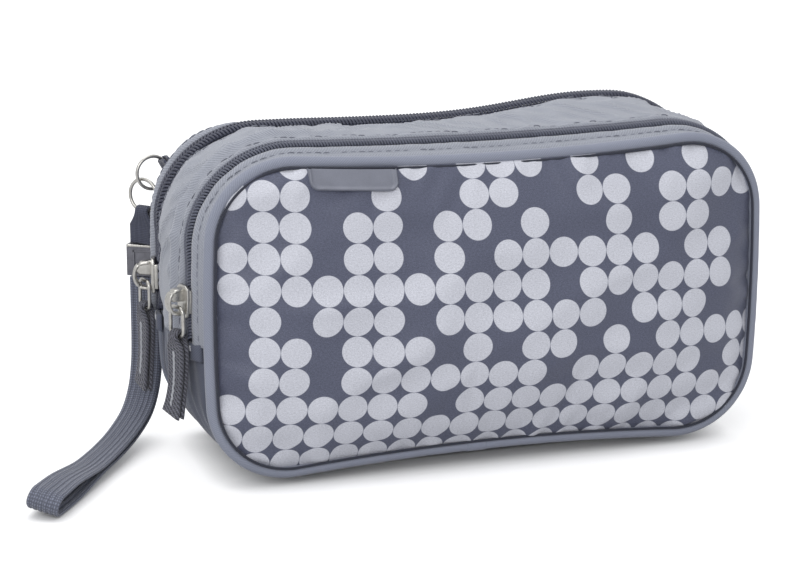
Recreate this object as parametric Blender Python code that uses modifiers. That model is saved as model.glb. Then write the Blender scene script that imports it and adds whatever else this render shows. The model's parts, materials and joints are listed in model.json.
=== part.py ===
"""Travel pouch organizer: a soft case with two zipped compartments and a wrist strap.

Metres, +Z up. The pouch stands on its base at Z = 0, centred on X and Y. +X runs along
its width and the printed front panel faces -Y. Below FOLD_Z the pouch is one fixed
bucket; above it the front and rear covers fold outward on their own panels.
"""
import math

import bmesh
import bpy
from mathutils import Matrix, Vector

MM = 0.001

# Driving dimensions of the pouch
SEAM_Y = 30.5 * MM              # front and rear seam planes
SEAM_HALF_WIDTH = 89.5 * MM
SEAM_TOP_Z = 104.0 * MM
SEAM_BOTTOM_Z = 4.0 * MM
SEAM_CORNER = 24.0 * MM
GUSSET_SWELL = 6.8 * MM         # the sides stand out past the seams at mid-depth
TOP_SWELL = 5.5 * MM
BASE_DROP = 5.2 * MM
CORNER_SWELL = 9.5 * MM
SIDE_BOW = 2.1 * MM
TOP_SAG = 4.7 * MM
BASE_ARCH = 4.9 * MM
FLAT_BASE_Y = 19.0 * MM         # the base rests flat this far from the middle
SWELL_POWER = 4.0
FOLD_Z = 46.0 * MM              # where the covers fold
BULGE = {"front": 13.4 * MM, "rear": 7.0 * MM}
HINGE_OUT = 1.5 * MM            # each fold line lies this far outside its panel
PANEL_THICK = 2.0 * MM
FABRIC_THICK = 1.0 * MM
LINING_THICK = 0.6 * MM
PIPING_RADIUS = 1.9 * MM
PIPING_OUT = 0.6 * MM           # its middle lies this far outside the seam plane
GUSSET_INSET = 2.4 * MM         # from a seam plane to the edge of its gusset
GAP = 0.3 * MM

# Badge, hung from the front seam
BADGE_SIZE = (29.0 * MM, 7.2 * MM, 1.7 * MM)
BADGE_X = -49.3 * MM
BADGE_TOP_Z = 100.1 * MM
BADGE_CORNER = 2.4 * MM

# Zippers: a small one in front, a larger one behind
ZIP_Y = {"front": -20.0 * MM, "rear": 20.0 * MM}
COIL_WIDTH = {"front": 2.0 * MM, "rear": 2.8 * MM}
COIL_GAP = 1.2 * MM
COIL_RISE = 0.5 * MM
COIL_SINK = 1.1 * MM
TAPE_WIDTH = 5.5 * MM
TAPE_BACK = 0.4 * MM            # the tape's edge lies this far behind its coil's
TAPE_TOP = 1.45 * MM
TAPE_THICK = 0.5 * MM
ZIP_START_Z = 48.0 * MM
ZIP_END_SIZE = (13.0 * MM, 5.0 * MM, 0.7 * MM)

# Inside: a divider with elastic loops behind it and a mesh pocket in front
DIVIDER_THICK = 1.4 * MM
DIVIDER_INSET = {"upper": 2.6 * MM, "lower": 1.6 * MM}
LOOP_COUNT = 4
LOOP_WIDTH = 26.0 * MM
LOOP_DEPTH = 13.0 * MM
LOOP_LAND = 5.0 * MM
LOOP_BAND = 1.0 * MM
LOOP_Z = 34.0 * MM
LOOP_HEIGHT = 20.0 * MM
POCKET_HALF_WIDTH = 62.0 * MM
POCKET_LOW_Z = 9.0 * MM
POCKET_TOP_Z = 60.0 * MM
POCKET_DEPTH = 7.5 * MM
POCKET_THICK = 0.7 * MM
BINDING_RADIUS = 0.9 * MM

# Sliders and pulls
SLIDER_Z = {"front": 60.0 * MM, "rear": 58.8 * MM}
SLIDER_SCALE = {"front": 1.0, "rear": 1.12}
SLIDER_PLATE = (1.2 * MM, 7.4 * MM, 10.5 * MM)
BRIDGE_HOLE = 4.3 * MM
BRIDGE_BAR = 1.3 * MM
BRIDGE_WIDTH = 2.6 * MM
LINK_TURN = {"front": math.radians(-66.0), "rear": math.radians(-78.0)}   # bars, from +X
LINK_OUT = 4.5 * MM                 # the link's hinge stands this far off the pouch
LINK_LOW = 1.6 * MM                 # and this far below the slider's middle
LINK_WIDTH = 6.4 * MM
LINK_DROP = 9.5 * MM
LINK_CORNER = 2.2 * MM
LINK_WIRE = 0.6 * MM
TAB_EYE = 1.1 * MM
TAB_LENGTH = 27.5 * MM
TAB_WIDTH = 7.6 * MM
TAB_THICK = 3.0 * MM
TAB_NECK = 3.4 * MM

# Rings and wrist strap
RING_RADIUS = 5.5 * MM
RING_WIRE = 0.65 * MM
RING_LINK = 2.4 * MM                # wire to wire, where one ring hangs in the other
RING_EYE = 1.5 * MM
RING_NECK = 4.2 * MM
RING_TAB_SIZE = (5.2 * MM, 6.6 * MM, 2.4 * MM)
SIDE_RING_CENTRE = Vector((-94.5, 38.8, 89.2)) * MM
SIDE_RING_TURN = math.radians(10.0)
STRAP_RING_TURN = math.radians(-50.0)
LINK_ANGLE = math.radians(232.0)    # where the strap ring hangs on the side ring
TAB_ANGLE = math.radians(30.0)      # where the sewn tab holds the side ring
LAY_WAY = Vector((-0.55, -0.835, 0.0)).normalized()   # the strap falls and lies this way
WEB_WIDTH = 10.6 * MM
WEB_THICK = 1.3 * MM
LAYER_APART = (0.8 * MM, 2.95 * MM)    # half the layers' spacing, closed and in the eye
TOP_LOOP_THICK = 2.8 * MM
BAR_RADIUS = 0.5 * MM
BAR_LENGTH = 11.2 * MM
CLAMP_TOP_Z = 65.2 * MM
CLAMP_SIZE = (4.2 * MM, 11.8 * MM, 10.8 * MM)
CLAMP_RAISED = (0.3 * MM, 7.2 * MM)    # height and side of the raised square
STRAP_LAY = [                       # distance along the lay and height, hand-laid
    (0.0, 53.8), (0.0, 42.0), (0.2, 31.5), (1.2, 23.5), (4.4, 15.8), (11.5, 9.6),
    (24.0, 6.0), (38.0, 4.3), (53.0, 3.7), (67.0, 3.6), (80.0, 3.6), (88.0, 3.6)]

COLOURS = {
    "dark_satin": (0.105, 0.112, 0.155), "light_twill": (0.37, 0.39, 0.43),
    "base_twill": (0.115, 0.125, 0.155), "piping": (0.24, 0.27, 0.34),
    "coil_mid": (0.12, 0.13, 0.18), "coil_dark": (0.035, 0.038, 0.06),
    "tape": (0.10, 0.11, 0.14), "webbing": (0.13, 0.15, 0.20), "lining": (0.22, 0.24, 0.28),
    "mesh": (0.06, 0.06, 0.08), "elastic": (0.05, 0.05, 0.06), "rubber": (0.09, 0.10, 0.12),
    "nickel": (0.62, 0.60, 0.56), "clamp": (0.25, 0.26, 0.29)}
METALS = {"nickel", "clamp"}

UP = Vector((0.0, 0.0, 1.0))
DOWN = -UP


def turned(angle):
    """A level direction at an angle from +X."""
    return Vector((math.cos(angle), math.sin(angle), 0.0))


# Worked out from the dimensions above
HINGE = {"front": Vector((0.0, -SEAM_Y - BULGE["front"] - HINGE_OUT, FOLD_Z)),
         "rear": Vector((0.0, SEAM_Y + BULGE["rear"] + HINGE_OUT, FOLD_Z))}
RING_WAY = turned(SIDE_RING_TURN)
RING_NORMAL = UP.cross(RING_WAY)
STRAP_WAY = UP.cross(LAY_WAY)       # the strap's width runs this way

PARTS = None
CUTTERS = None


# ---------------------------------------------------------------- scene and materials

def clear_scene():
    """Remove every object, then make the part and cutter collections."""
    global PARTS, CUTTERS
    for item in list(bpy.data.objects):
        bpy.data.objects.remove(item, do_unlink=True)
    PARTS = bpy.data.collections.new("travel_pouch_organizer")
    CUTTERS = bpy.data.collections.new("cutters")
    for collection in (PARTS, CUTTERS):
        bpy.context.scene.collection.children.link(collection)


def material(slot, name):
    """One Principled material for one sub-part."""
    made = bpy.data.materials.new(name + "_" + slot)
    made.use_nodes = True
    shader = made.node_tree.nodes["Principled BSDF"]
    shader.inputs["Base Color"].default_value = (*COLOURS[slot], 1.0)
    shader.inputs["Metallic"].default_value = 1.0 if slot in METALS else 0.0
    shader.inputs["Roughness"].default_value = 0.3 if slot in METALS else 0.85
    return made


def add_object(name, data, slot, parent=None):
    """Put new data in the parts collection, with a material and a parent empty."""
    made = bpy.data.objects.new(name, data)
    PARTS.objects.link(made)
    data.materials.append(material(slot, name))
    if parent:
        made.parent = parent
        made.matrix_parent_inverse = Matrix.Translation(-parent.location)
    return made


def joint_empty(name, location):
    """An empty on a joint's axis, which the moving pieces are parented to."""
    made = bpy.data.objects.new(name, None)
    made.location = location
    PARTS.objects.link(made)
    return made


def mesh_from(name, points, faces, slot, parent=None, smooth=True):
    """A mesh from points and faces, with its faces turned outward."""
    mesh = bpy.data.meshes.new(name)
    mesh.from_pydata([tuple(point) for point in points], [], faces)
    work = bmesh.new()
    work.from_mesh(mesh)
    bmesh.ops.recalc_face_normals(work, faces=work.faces)
    work.to_mesh(mesh)
    work.free()
    if smooth:
        mesh.shade_smooth()
        mesh.set_sharp_from_angle(angle=math.radians(40.0))
    return add_object(name, mesh, slot, parent)


# ---------------------------------------------------------------- outline of the pouch

def swell(y):
    """0 at the seam planes, 1 at mid-depth."""
    return 1.0 - min(1.0, abs(y) / SEAM_Y) ** SWELL_POWER


def sizes(y):
    """Half-width, top, bottom, corner radius and base arch of the section at depth y."""
    half = SEAM_HALF_WIDTH + GUSSET_SWELL * swell(y)
    top = SEAM_TOP_Z + TOP_SWELL * swell(y)
    bottom = max(0.0, SEAM_BOTTOM_Z - BASE_DROP * swell(y))
    corner = SEAM_CORNER + CORNER_SWELL * swell(y)
    past_flat = max(0.0, abs(y) - FLAT_BASE_Y) / (SEAM_Y - FLAT_BASE_Y)
    return half, top, bottom, corner, BASE_ARCH * min(1.0, past_flat)


def warp(x, z, y):
    """Bow the sides out, let the top sag and arch the base."""
    half, top, bottom, _, arch = sizes(y)
    across = 1.0 - min(1.0, abs(x / half)) ** 2
    tall = 2.0 * (z - bottom) / (top - bottom) - 1.0
    up = max(0.0, (z - FOLD_Z) / (top - FOLD_Z))
    down = max(0.0, (FOLD_Z - z) / (FOLD_Z - bottom))
    sag = TOP_SAG * (1.0 - 0.45 * swell(y))
    bowed = x * (1.0 + SIDE_BOW / half * (1.0 - tall * tall))
    return bowed, z - sag * across * up + arch * across * down


def arc_points(y, depth, upper, start_z, counts=(3, 6, 8)):
    """Points round the upper or lower part of the section, left to right.

    depth is measured outward from the pouch's surface; start_z is the height of both ends.
    """
    side_steps, corner_steps, flat_steps = counts
    half, top, bottom, corner, _ = sizes(y)
    level = top if upper else bottom
    turn = 1.0 if upper else -1.0
    base = []
    for step in range(side_steps):
        base.append((-half, start_z + (level - turn * corner - start_z) * step / side_steps, -1, 0))
    for step in range(corner_steps):
        angle = 0.5 * math.pi * step / corner_steps
        lean_x, lean_z = -math.cos(angle), turn * math.sin(angle)
        base.append((-half + corner * (1.0 + lean_x), level - turn * corner + corner * lean_z,
                     lean_x, lean_z))
    for step in range(flat_steps // 2):
        base.append((-(half - corner) * (1.0 - 2.0 * step / flat_steps), level, 0, turn))
    mirrored = [(-x, z, -lean_x, lean_z) for x, z, lean_x, lean_z in reversed(base)]
    points = []
    for x, z, lean_x, lean_z in base + [(0.0, level, 0, turn)] + mirrored:
        warped_x, warped_z = warp(x, z, y)
        points.append(Vector((warped_x + depth * lean_x, y, warped_z + depth * lean_z)))
    return points


def sweep(name, profile, slot, upper, start_z, parent=None, counts=(3, 6, 8)):
    """A closed solid whose (y, depth) profile runs round part of the pouch."""
    rows = [arc_points(y, depth, upper, start_z, counts) for y, depth in profile]
    size, steps = len(rows), len(rows[0])
    points = [rows[k][i] for i in range(steps) for k in range(size)]
    faces = []
    for i in range(steps - 1):
        for k in range(size):
            following = (k + 1) % size
            faces.append((i * size + k, i * size + following,
                          (i + 1) * size + following, (i + 1) * size + k))
    faces.append(tuple(range(size)))
    faces.append(tuple((steps - 1) * size + k for k in range(size)))
    return mesh_from(name, points, faces, slot, parent)


def strip_profile(y_from, y_to, outer, inner, steps):
    """A flat band's (y, depth) profile."""
    ys = [y_from + (y_to - y_from) * step / steps for step in range(steps + 1)]
    return [(y, outer) for y in ys] + [(y, inner) for y in reversed(ys)]


# ---------------------------------------------------------------- panels and piping

def bulge(x, z, height):
    """How far a padded panel stands out of its seam plane; lower half is fuller."""
    across = min(1.0, abs(x) / (SEAM_HALF_WIDTH + SIDE_BOW)) ** 2
    middle = 0.5 * (SEAM_TOP_Z + SEAM_BOTTOM_Z)
    tall = max(-1.0, min(1.0, (z - middle) / (SEAM_TOP_Z - middle)))
    crown = (1.0 - tall ** 2) * (1.0 - 0.336 * tall + 0.07 * tall ** 2 + 0.834 * tall ** 3)
    return height * (1.0 - across) * (1.0 + 0.66 * across) * crown


def panel(name, side, upper, height, slot, thick, inset=0.0, parent=None, grid=(14, 7)):
    """A padded panel above or below the fold: a patch inside the seam outline."""
    across, tall = grid
    start = FOLD_Z + (GAP if upper else -GAP)
    edge = arc_points(side * SEAM_Y, -inset, upper, start, (tall - 3, 6, across - 6))
    left = edge[:tall + 1]
    top = edge[tall:tall + across + 1]
    right = list(reversed(edge[tall + across:]))
    points = []
    for j in range(tall + 1):
        v = j / tall
        for i in range(across + 1):
            u = i / across
            low = left[0].lerp(right[0], u)
            ruled = low.lerp(top[i], v) + left[j].lerp(right[j], u)
            corners = left[0].lerp(right[0], u).lerp(left[-1].lerp(right[-1], u), v)
            point = ruled - corners
            out = bulge(point.x, point.z, height)
            points.append(Vector((point.x, side * (SEAM_Y + out - inset), point.z)))
    faces = []
    for j in range(tall):
        for i in range(across):
            first = j * (across + 1) + i
            quad = (first, first + 1, first + across + 2, first + across + 1)
            faces.append(quad if (side < 0) == upper else tuple(reversed(quad)))
    mesh = bpy.data.meshes.new(name)
    mesh.from_pydata([tuple(point) for point in points], [], faces)
    mesh.shade_smooth()
    made = add_object(name, mesh, slot, parent)
    shell = made.modifiers.new("thickness", "SOLIDIFY")
    shell.thickness = thick
    shell.offset = -1.0
    return made


def tube(name, points, radius, slot, parent=None, cyclic=False, resolution=1):
    """A round bar along points, as a bevelled curve."""
    curve = bpy.data.curves.new(name, "CURVE")
    curve.dimensions = "3D"
    curve.bevel_depth = radius
    curve.bevel_resolution = resolution
    curve.use_fill_caps = not cyclic
    spline = curve.splines.new("POLY")
    spline.points.add(len(points) - 1)
    for place, point in zip(spline.points, points):
        place.co = (*point, 1.0)
    spline.use_cyclic_u = cyclic
    return add_object(name, curve, slot, parent)


def piping(name, side, upper, parent=None):
    """The corded edge outside a panel's seam."""
    start = FOLD_Z + (GAP if upper else -GAP)
    counts = (3, 7, 8) if upper else (2, 7, 8)
    points = arc_points(side * SEAM_Y, PIPING_RADIUS + GAP, upper, start, counts)
    for point in points:
        point.z = max(point.z, PIPING_RADIUS + GAP)
        point.y = side * (SEAM_Y + PIPING_OUT)
    return tube(name, points, PIPING_RADIUS, "piping", parent)


def badge(parent):
    """A plain rubber badge that hangs from the front seam."""
    width, height, thick = BADGE_SIZE
    columns, rows = 12, 3
    points, faces = [], []
    for j in range(rows + 1):
        for i in range(columns + 1):
            x = width * (i / columns - 0.5)
            drop = height * j / rows
            side_room = 0.5 * width - abs(x)
            short = max(0.0, BADGE_CORNER - side_room)
            round_off = BADGE_CORNER - math.sqrt(BADGE_CORNER ** 2 - short ** 2)
            z = BADGE_TOP_Z - drop * (1.0 - round_off / height)
            out = bulge(BADGE_X + x, z, BULGE["front"])
            points.append(Vector((BADGE_X + x, -SEAM_Y - out - 2.0 * GAP, z)))
    for j in range(rows):
        for i in range(columns):
            first = j * (columns + 1) + i
            faces.append((first, first + columns + 1, first + columns + 2, first + 1))
    mesh = bpy.data.meshes.new("badge")
    mesh.from_pydata([tuple(point) for point in points], [], faces)
    made = add_object("badge", mesh, "rubber", parent)
    shell = made.modifiers.new("thickness", "SOLIDIFY")
    shell.thickness = thick
    shell.offset = 1.0


# ---------------------------------------------------------------- shell of the pouch

def gussets(front_hinge, rear_hinge):
    """The strips between the zippers and seams, and the base that holds the bottom."""
    start = FOLD_Z + 0.5 * GAP
    front_edge = ZIP_Y["front"] - 0.5 * COIL_GAP - COIL_WIDTH["front"] - GAP
    middle_front = ZIP_Y["front"] + 0.5 * COIL_GAP + COIL_WIDTH["front"] + GAP
    middle_rear = ZIP_Y["rear"] - 0.5 * COIL_GAP - COIL_WIDTH["rear"] - GAP
    rear_edge = ZIP_Y["rear"] + 0.5 * COIL_GAP + COIL_WIDTH["rear"] + GAP
    seam_edge = SEAM_Y - GUSSET_INSET
    sweep("front_gusset", strip_profile(-seam_edge, front_edge, 0.0, -FABRIC_THICK, 2),
          "light_twill", True, start, front_hinge)
    sweep("middle_gusset", strip_profile(middle_front, middle_rear, 0.0, -FABRIC_THICK, 4),
          "light_twill", True, start)
    sweep("rear_gusset", strip_profile(rear_edge, seam_edge, 0.0, -FABRIC_THICK, 2),
          "light_twill", True, start, rear_hinge)
    ys = [-seam_edge, -24.5 * MM, -FLAT_BASE_Y, 0.0, FLAT_BASE_Y, 24.5 * MM, seam_edge]
    profile = [(y, 0.0) for y in ys] + [(y, -FABRIC_THICK) for y in reversed(ys)]
    sweep("base_gusset", profile, "base_twill", False, FOLD_Z - 0.5 * GAP, counts=(2, 6, 6))


def zipper(where, hinge):
    """Two tapes with their coils; the cover's half rides on the cover."""
    y_mid, width = ZIP_Y[where], COIL_WIDTH[where]
    coil_slot = "coil_mid" if where == "front" else "coil_dark"
    cover_side = -1.0 if where == "front" else 1.0
    for half, side, parent in (("cover", cover_side, hinge), ("pouch", -cover_side, None)):
        near = y_mid + side * 0.5 * COIL_GAP
        far = near + side * width
        rise = [(near, -0.5 * COIL_SINK), (near + side * 0.25 * width, COIL_RISE),
                (far - side * 0.25 * width, COIL_RISE), (far, -0.5 * COIL_SINK),
                (far - side * 0.25 * width, -COIL_SINK), (near + side * 0.25 * width, -COIL_SINK)]
        sweep(f"{where}_zip_coil_{half}", rise, coil_slot, True, ZIP_START_Z, parent)
        inside = near + side * TAPE_BACK
        band = strip_profile(inside, near + side * TAPE_WIDTH, -TAPE_TOP, -TAPE_TOP - TAPE_THICK, 1)
        sweep(f"{where}_zip_tape_{half}", band, "tape", True, ZIP_START_Z, parent)


def zip_end(name, where, side):
    """The sewn fabric patch that closes one end of a zipper."""
    width, height, thick = ZIP_END_SIZE
    top = FOLD_Z - 0.5 * GAP
    points = []
    for y_step in (-1.0, 0.0, 1.0):
        y = ZIP_Y[where] + 0.5 * y_step * width
        for z in (top - height, top):
            x = warp(sizes(y)[0], z, y)[0]
            for depth in (GAP, GAP + thick):
                points.append(Vector((side * (x + depth), y, z)))
    faces = [(0, 1, 3, 2), (8, 9, 11, 10)]
    for column in (0, 4):
        for a, b in ((0, 1), (1, 3), (3, 2), (2, 0)):
            faces.append((column + a, column + b, column + b + 4, column + a + 4))
    mesh_from(name, points, faces, "base_twill", smooth=False)


def outline_curve(name, points, thick):
    """A filled 2D curve, extruded both ways by half its thickness."""
    curve = bpy.data.curves.new(name, "CURVE")
    curve.dimensions = "2D"
    curve.fill_mode = "BOTH"
    curve.extrude = 0.5 * thick
    add_ring(curve, points)
    return curve


def add_ring(curve, points):
    """One closed outline in a 2D curve; an outline inside another is a hole."""
    spline = curve.splines.new("POLY")
    spline.points.add(len(points) - 1)
    for point, (x, y) in zip(spline.points, points):
        point.co = (x, y, 0.0, 1.0)
    spline.use_cyclic_u = True


def flat_outline(name, points, thick, slot, place):
    """A flat outline as an object, in its place."""
    made = add_object(name, outline_curve(name, points, thick), slot)
    made.matrix_world = place
    return made


def frame_matrix(origin, first, second):
    """A placement whose local X and Y run along two given directions."""
    first, second = first.normalized(), second.normalized()
    third = first.cross(second)
    rows = Matrix((first, second, third)).transposed().to_4x4()
    rows.translation = origin
    return rows


# ---------------------------------------------------------------- inside the pouch

def divider():
    """The wall between the two compartments."""
    upper = arc_points(0.0, -DIVIDER_INSET["upper"], True, FOLD_Z)
    lower = arc_points(0.0, -DIVIDER_INSET["lower"], False, FOLD_Z - 1.0 * MM)
    outline = [(point.x, point.z) for point in upper + list(reversed(lower))]
    place = frame_matrix(Vector((0, 0, 0)), Vector((1, 0, 0)), Vector((0, 0, 1)))
    flat_outline("divider", outline, DIVIDER_THICK, "lining", place)


def elastic_loops():
    """One elastic band sewn to the divider's rear face in loops that hold bottles and pens."""
    steps = 8
    inner, outer = [], []
    total = LOOP_COUNT * LOOP_WIDTH + (LOOP_COUNT + 1) * LOOP_LAND
    x = -0.5 * total
    inner.append((x, 0.0))
    outer.append((x, LOOP_BAND))
    for _ in range(LOOP_COUNT):
        x += LOOP_LAND
        for step in range(steps + 1):
            angle = math.pi * step / steps
            across = 0.5 * LOOP_WIDTH * (1.0 - math.cos(angle))
            rise = math.sin(angle)
            inner.append((x + across, (LOOP_DEPTH - LOOP_BAND) * rise))
            widen = -LOOP_BAND * math.cos(angle)
            outer.append((x + across + widen, LOOP_BAND + (LOOP_DEPTH - LOOP_BAND) * rise))
        x += LOOP_WIDTH
    x += LOOP_LAND
    inner.append((x, 0.0))
    outer.append((x, LOOP_BAND))
    face_y = 0.5 * DIVIDER_THICK + GAP
    place = frame_matrix(Vector((0, face_y, LOOP_Z)), Vector((1, 0, 0)), Vector((0, 1, 0)))
    flat_outline("elastic_loops", inner + list(reversed(outer)), LOOP_HEIGHT, "elastic", place)


def mesh_pocket():
    """A mesh pocket on the divider's front face, open at the top, and its bound edge."""
    across, tall = 12, 4
    face_y = -0.5 * DIVIDER_THICK - GAP
    points, faces = [], []
    for j in range(tall + 1):
        v = j / tall
        for i in range(across + 1):
            u = 2.0 * i / across - 1.0
            out = POCKET_DEPTH * (1.0 - u ** 4) * math.sin(0.5 * math.pi * v)
            z = POCKET_LOW_Z + (POCKET_TOP_Z - POCKET_LOW_Z) * v
            points.append(Vector((POCKET_HALF_WIDTH * u, face_y - out, z)))
    for j in range(tall):
        for i in range(across):
            first = j * (across + 1) + i
            faces.append((first, first + 1, first + across + 2, first + across + 1))
    mesh = bpy.data.meshes.new("mesh_pocket")
    mesh.from_pydata([tuple(point) for point in points], [], faces)
    made = add_object("mesh_pocket", mesh, "mesh")
    shell = made.modifiers.new("thickness", "SOLIDIFY")
    shell.thickness = POCKET_THICK
    shell.offset = 1.0
    rim = points[-(across + 1):]
    lift = Vector((0.0, -BINDING_RADIUS - 0.05 * MM, BINDING_RADIUS + 0.4 * MM))
    tube("mesh_pocket_binding", [point + lift for point in rim], BINDING_RADIUS, "webbing")


# ---------------------------------------------------------------- sliders and pulls

def box_between(name, low, high):
    """A box from its low to its high corner, as bmesh geometry in a new mesh."""
    work = bmesh.new()
    bmesh.ops.create_cube(work, size=1.0)
    low, high = Vector(low), Vector(high)
    for vertex in work.verts:
        vertex.co = Vector([0.5 * (low[k] + high[k]) + vertex.co[k] * (high[k] - low[k])
                            for k in range(3)])
    mesh = bpy.data.meshes.new(name)
    work.to_mesh(mesh)
    work.free()
    return mesh


def join_to(target, mesh, name):
    """Boolean union of a helper mesh into the target object."""
    helper = bpy.data.objects.new(name, mesh)
    CUTTERS.objects.link(helper)
    helper.hide_render = True
    helper.display_type = "WIRE"
    union = target.modifiers.new(name, "BOOLEAN")
    union.operation = "UNION"
    union.solver = "EXACT"
    union.object = helper


def arch_mesh(name, base, reach, half, bar, width):
    """The slider's bridge: a flat arch that stands on the outer plate, for the link."""
    steps = 8
    outer, inner = [], []
    for step in range(steps + 1):
        angle = math.pi * step / steps
        rise = math.sin(angle) ** 0.6
        outer.append((base + reach * rise, -half * math.cos(angle)))
        inner.append((base + (reach - bar) * rise, -(half - bar) * math.cos(angle)))
    sunk = base - 0.4 * MM
    outer[0], outer[-1] = (sunk, -half), (sunk, half)
    inner[0], inner[-1] = (sunk, bar - half), (sunk, half - bar)
    ring = outer + list(reversed(inner))
    count = len(ring)
    points = [(x, side * 0.5 * width, z) for side in (-1, 1) for x, z in ring]
    faces = []
    for i in range(count):
        following = (i + 1) % count
        faces.append((i, following, count + following, count + i))
    for i in range(steps):
        a, b, c, d = i, i + 1, count - 2 - i, count - 1 - i
        faces.append((a, b, c, d))
        faces.append((count + d, count + c, count + b, count + a))
    mesh = bpy.data.meshes.new(name)
    mesh.from_pydata(points, [], faces)
    work = bmesh.new()
    work.from_mesh(mesh)
    bmesh.ops.recalc_face_normals(work, faces=work.faces)
    work.to_mesh(mesh)
    work.free()
    return mesh


def slider_place(where):
    """A slider's placement on the left side: local X leaves the pouch, local Z is up."""
    y, z = ZIP_Y[where], SLIDER_Z[where]
    here, beside = (warp(sizes(at)[0], z, at)[0] for at in (y, y + 1.0 * MM))
    along = Vector((here - beside, 1.0 * MM, 0.0)).normalized()
    out = along.cross(UP)
    if out.x > 0:
        out = -out
    return frame_matrix(Vector((-here, y, z)), out, UP.cross(out))


def link_top(where):
    """Centre of the pull link's upper bar, which is its hinge."""
    scale = SLIDER_SCALE[where]
    return slider_place(where) @ Vector((scale * LINK_OUT, 0.0, -scale * LINK_LOW))


def slider(where, parent):
    """Two plates joined by a post between the coils, with a bridge for the link."""
    scale = SLIDER_SCALE[where]
    thick, width, tall = (scale * size for size in SLIDER_PLATE)
    outer_in = COIL_RISE + 3.0 * GAP
    inner_out = -TAPE_TOP - TAPE_THICK - 4.0 * GAP
    place = slider_place(where)
    plate = box_between("outer", (outer_in, -0.5 * width, -0.5 * tall),
                        (outer_in + thick, 0.5 * width, 0.5 * tall))
    inner = box_between("inner", (inner_out - 0.8 * thick, -0.42 * width, -0.42 * tall),
                        (inner_out, 0.42 * width, 0.42 * tall))
    post = box_between("post", (inner_out - 0.4 * thick, -0.25 * MM, -0.1 * tall),
                       (outer_in + 0.5 * thick, 0.25 * MM, 0.4 * tall))
    bridge = arch_mesh("bridge", outer_in + thick, scale * (BRIDGE_HOLE + BRIDGE_BAR),
                       0.42 * tall, scale * BRIDGE_BAR, scale * BRIDGE_WIDTH)
    for mesh in (plate, inner, post, bridge):
        mesh.transform(place)
    made = add_object(where + "_slider", plate, "nickel", parent)
    join_to(made, inner, where + "_slider_inner_plate")
    join_to(made, post, where + "_slider_post")
    join_to(made, bridge, where + "_slider_bridge")


def pull_link(where, parent):
    """A wire loop: one bar in the slider's bridge, the other in the pull tab."""
    width, drop = SLIDER_SCALE[where] * LINK_WIDTH, LINK_DROP
    corner = LINK_CORNER
    top, bar_way = link_top(where), turned(LINK_TURN[where])
    points = []
    for across, down, start in ((1, 0, -90), (1, 1, 0), (-1, 1, 90), (-1, 0, 180)):
        for step in range(5):
            angle = math.radians(start + 90.0 * step / 4)
            side = across * (0.5 * width - corner) + corner * math.cos(angle)
            low = (drop - corner if down else corner) + corner * math.sin(angle)
            points.append(top + bar_way * side + DOWN * low)
    tube(where + "_pull_link", points, LINK_WIRE, "nickel", parent, cyclic=True)


def folded_tab(name, eye, bar_way, down, hole, neck, length, width, thick, slot, parent):
    """Webbing gathered over a bar, with an eye for it, and sewn flat below.

    The eye's outline is extruded to the neck's width; the flat part is joined below it.
    """
    out_way = bar_way.cross(down)
    big = hole + 1.1 * MM
    shoulder = hole + 0.8 * MM
    neck_end = shoulder + 1.2 * MM
    steps = 10
    shape, inner = [], []
    for step in range(steps + 1):
        angle = math.pi * step / steps
        shape.append((big * math.cos(angle), -big * math.sin(angle)))
        inner.append((hole * math.cos(angle), -hole * math.sin(angle)))
    low = 0.4 * thick
    shape = shape + [(-low, 1.2 * big), (-low, neck_end), (low, neck_end), (low, 1.2 * big)]
    inner = inner + [(-0.7 * hole, 0.7 * hole), (0.0, hole), (0.7 * hole, 0.7 * hole)]
    place = frame_matrix(eye, out_way, down)
    curve = outline_curve(name, shape, neck)
    add_ring(curve, inner)
    helper = bpy.data.objects.new(name, curve)
    PARTS.objects.link(helper)
    graph = bpy.context.evaluated_depsgraph_get()
    mesh = bpy.data.meshes.new_from_object(helper.evaluated_get(graph))
    bpy.data.objects.remove(helper, do_unlink=True)
    work = bmesh.new()
    work.from_mesh(mesh)
    bmesh.ops.remove_doubles(work, verts=work.verts, dist=0.001 * MM)
    work.to_mesh(mesh)
    work.free()
    mesh.transform(place)
    made = add_object(name, mesh, slot, parent)
    flat = box_between(name + "_flat", (-0.5 * thick, shoulder, -0.5 * width),
                       (0.5 * thick, length, 0.5 * width))
    flat.transform(place)
    join_to(made, flat, name + "_flat")
    return made


# ---------------------------------------------------------------- rings and strap

def on_side_ring(angle):
    """A point on the side ring's wire."""
    return SIDE_RING_CENTRE + RING_RADIUS * (math.cos(angle) * RING_WAY + math.sin(angle) * UP)


def strap_ring_centre():
    """The strap ring hangs in the side ring, with its wire above the side ring's."""
    return on_side_ring(LINK_ANGLE) - UP * (RING_RADIUS - RING_LINK)


def ring(name, centre, first, second, parent):
    """A round wire ring."""
    steps = 24
    points = []
    for step in range(steps):
        angle = 2.0 * math.pi * step / steps
        points.append(centre + RING_RADIUS * (math.cos(angle) * first + math.sin(angle) * second))
    tube(name, points, RING_WIRE, "nickel", parent, cyclic=True)


def ring_tab(parent):
    """The webbing tab that is sewn in the rear seam and holds the side ring."""
    along = -math.sin(TAB_ANGLE) * RING_WAY + math.cos(TAB_ANGLE) * UP
    length, width, thick = RING_TAB_SIZE
    folded_tab("side_ring_tab", on_side_ring(TAB_ANGLE), along, -RING_NORMAL, RING_EYE,
               RING_NECK, length, width, thick, "webbing", parent)


def strap_loop_eye():
    """Lowest point of the strap ring, where the webbing folds over it."""
    return strap_ring_centre() - UP * RING_RADIUS


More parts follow.
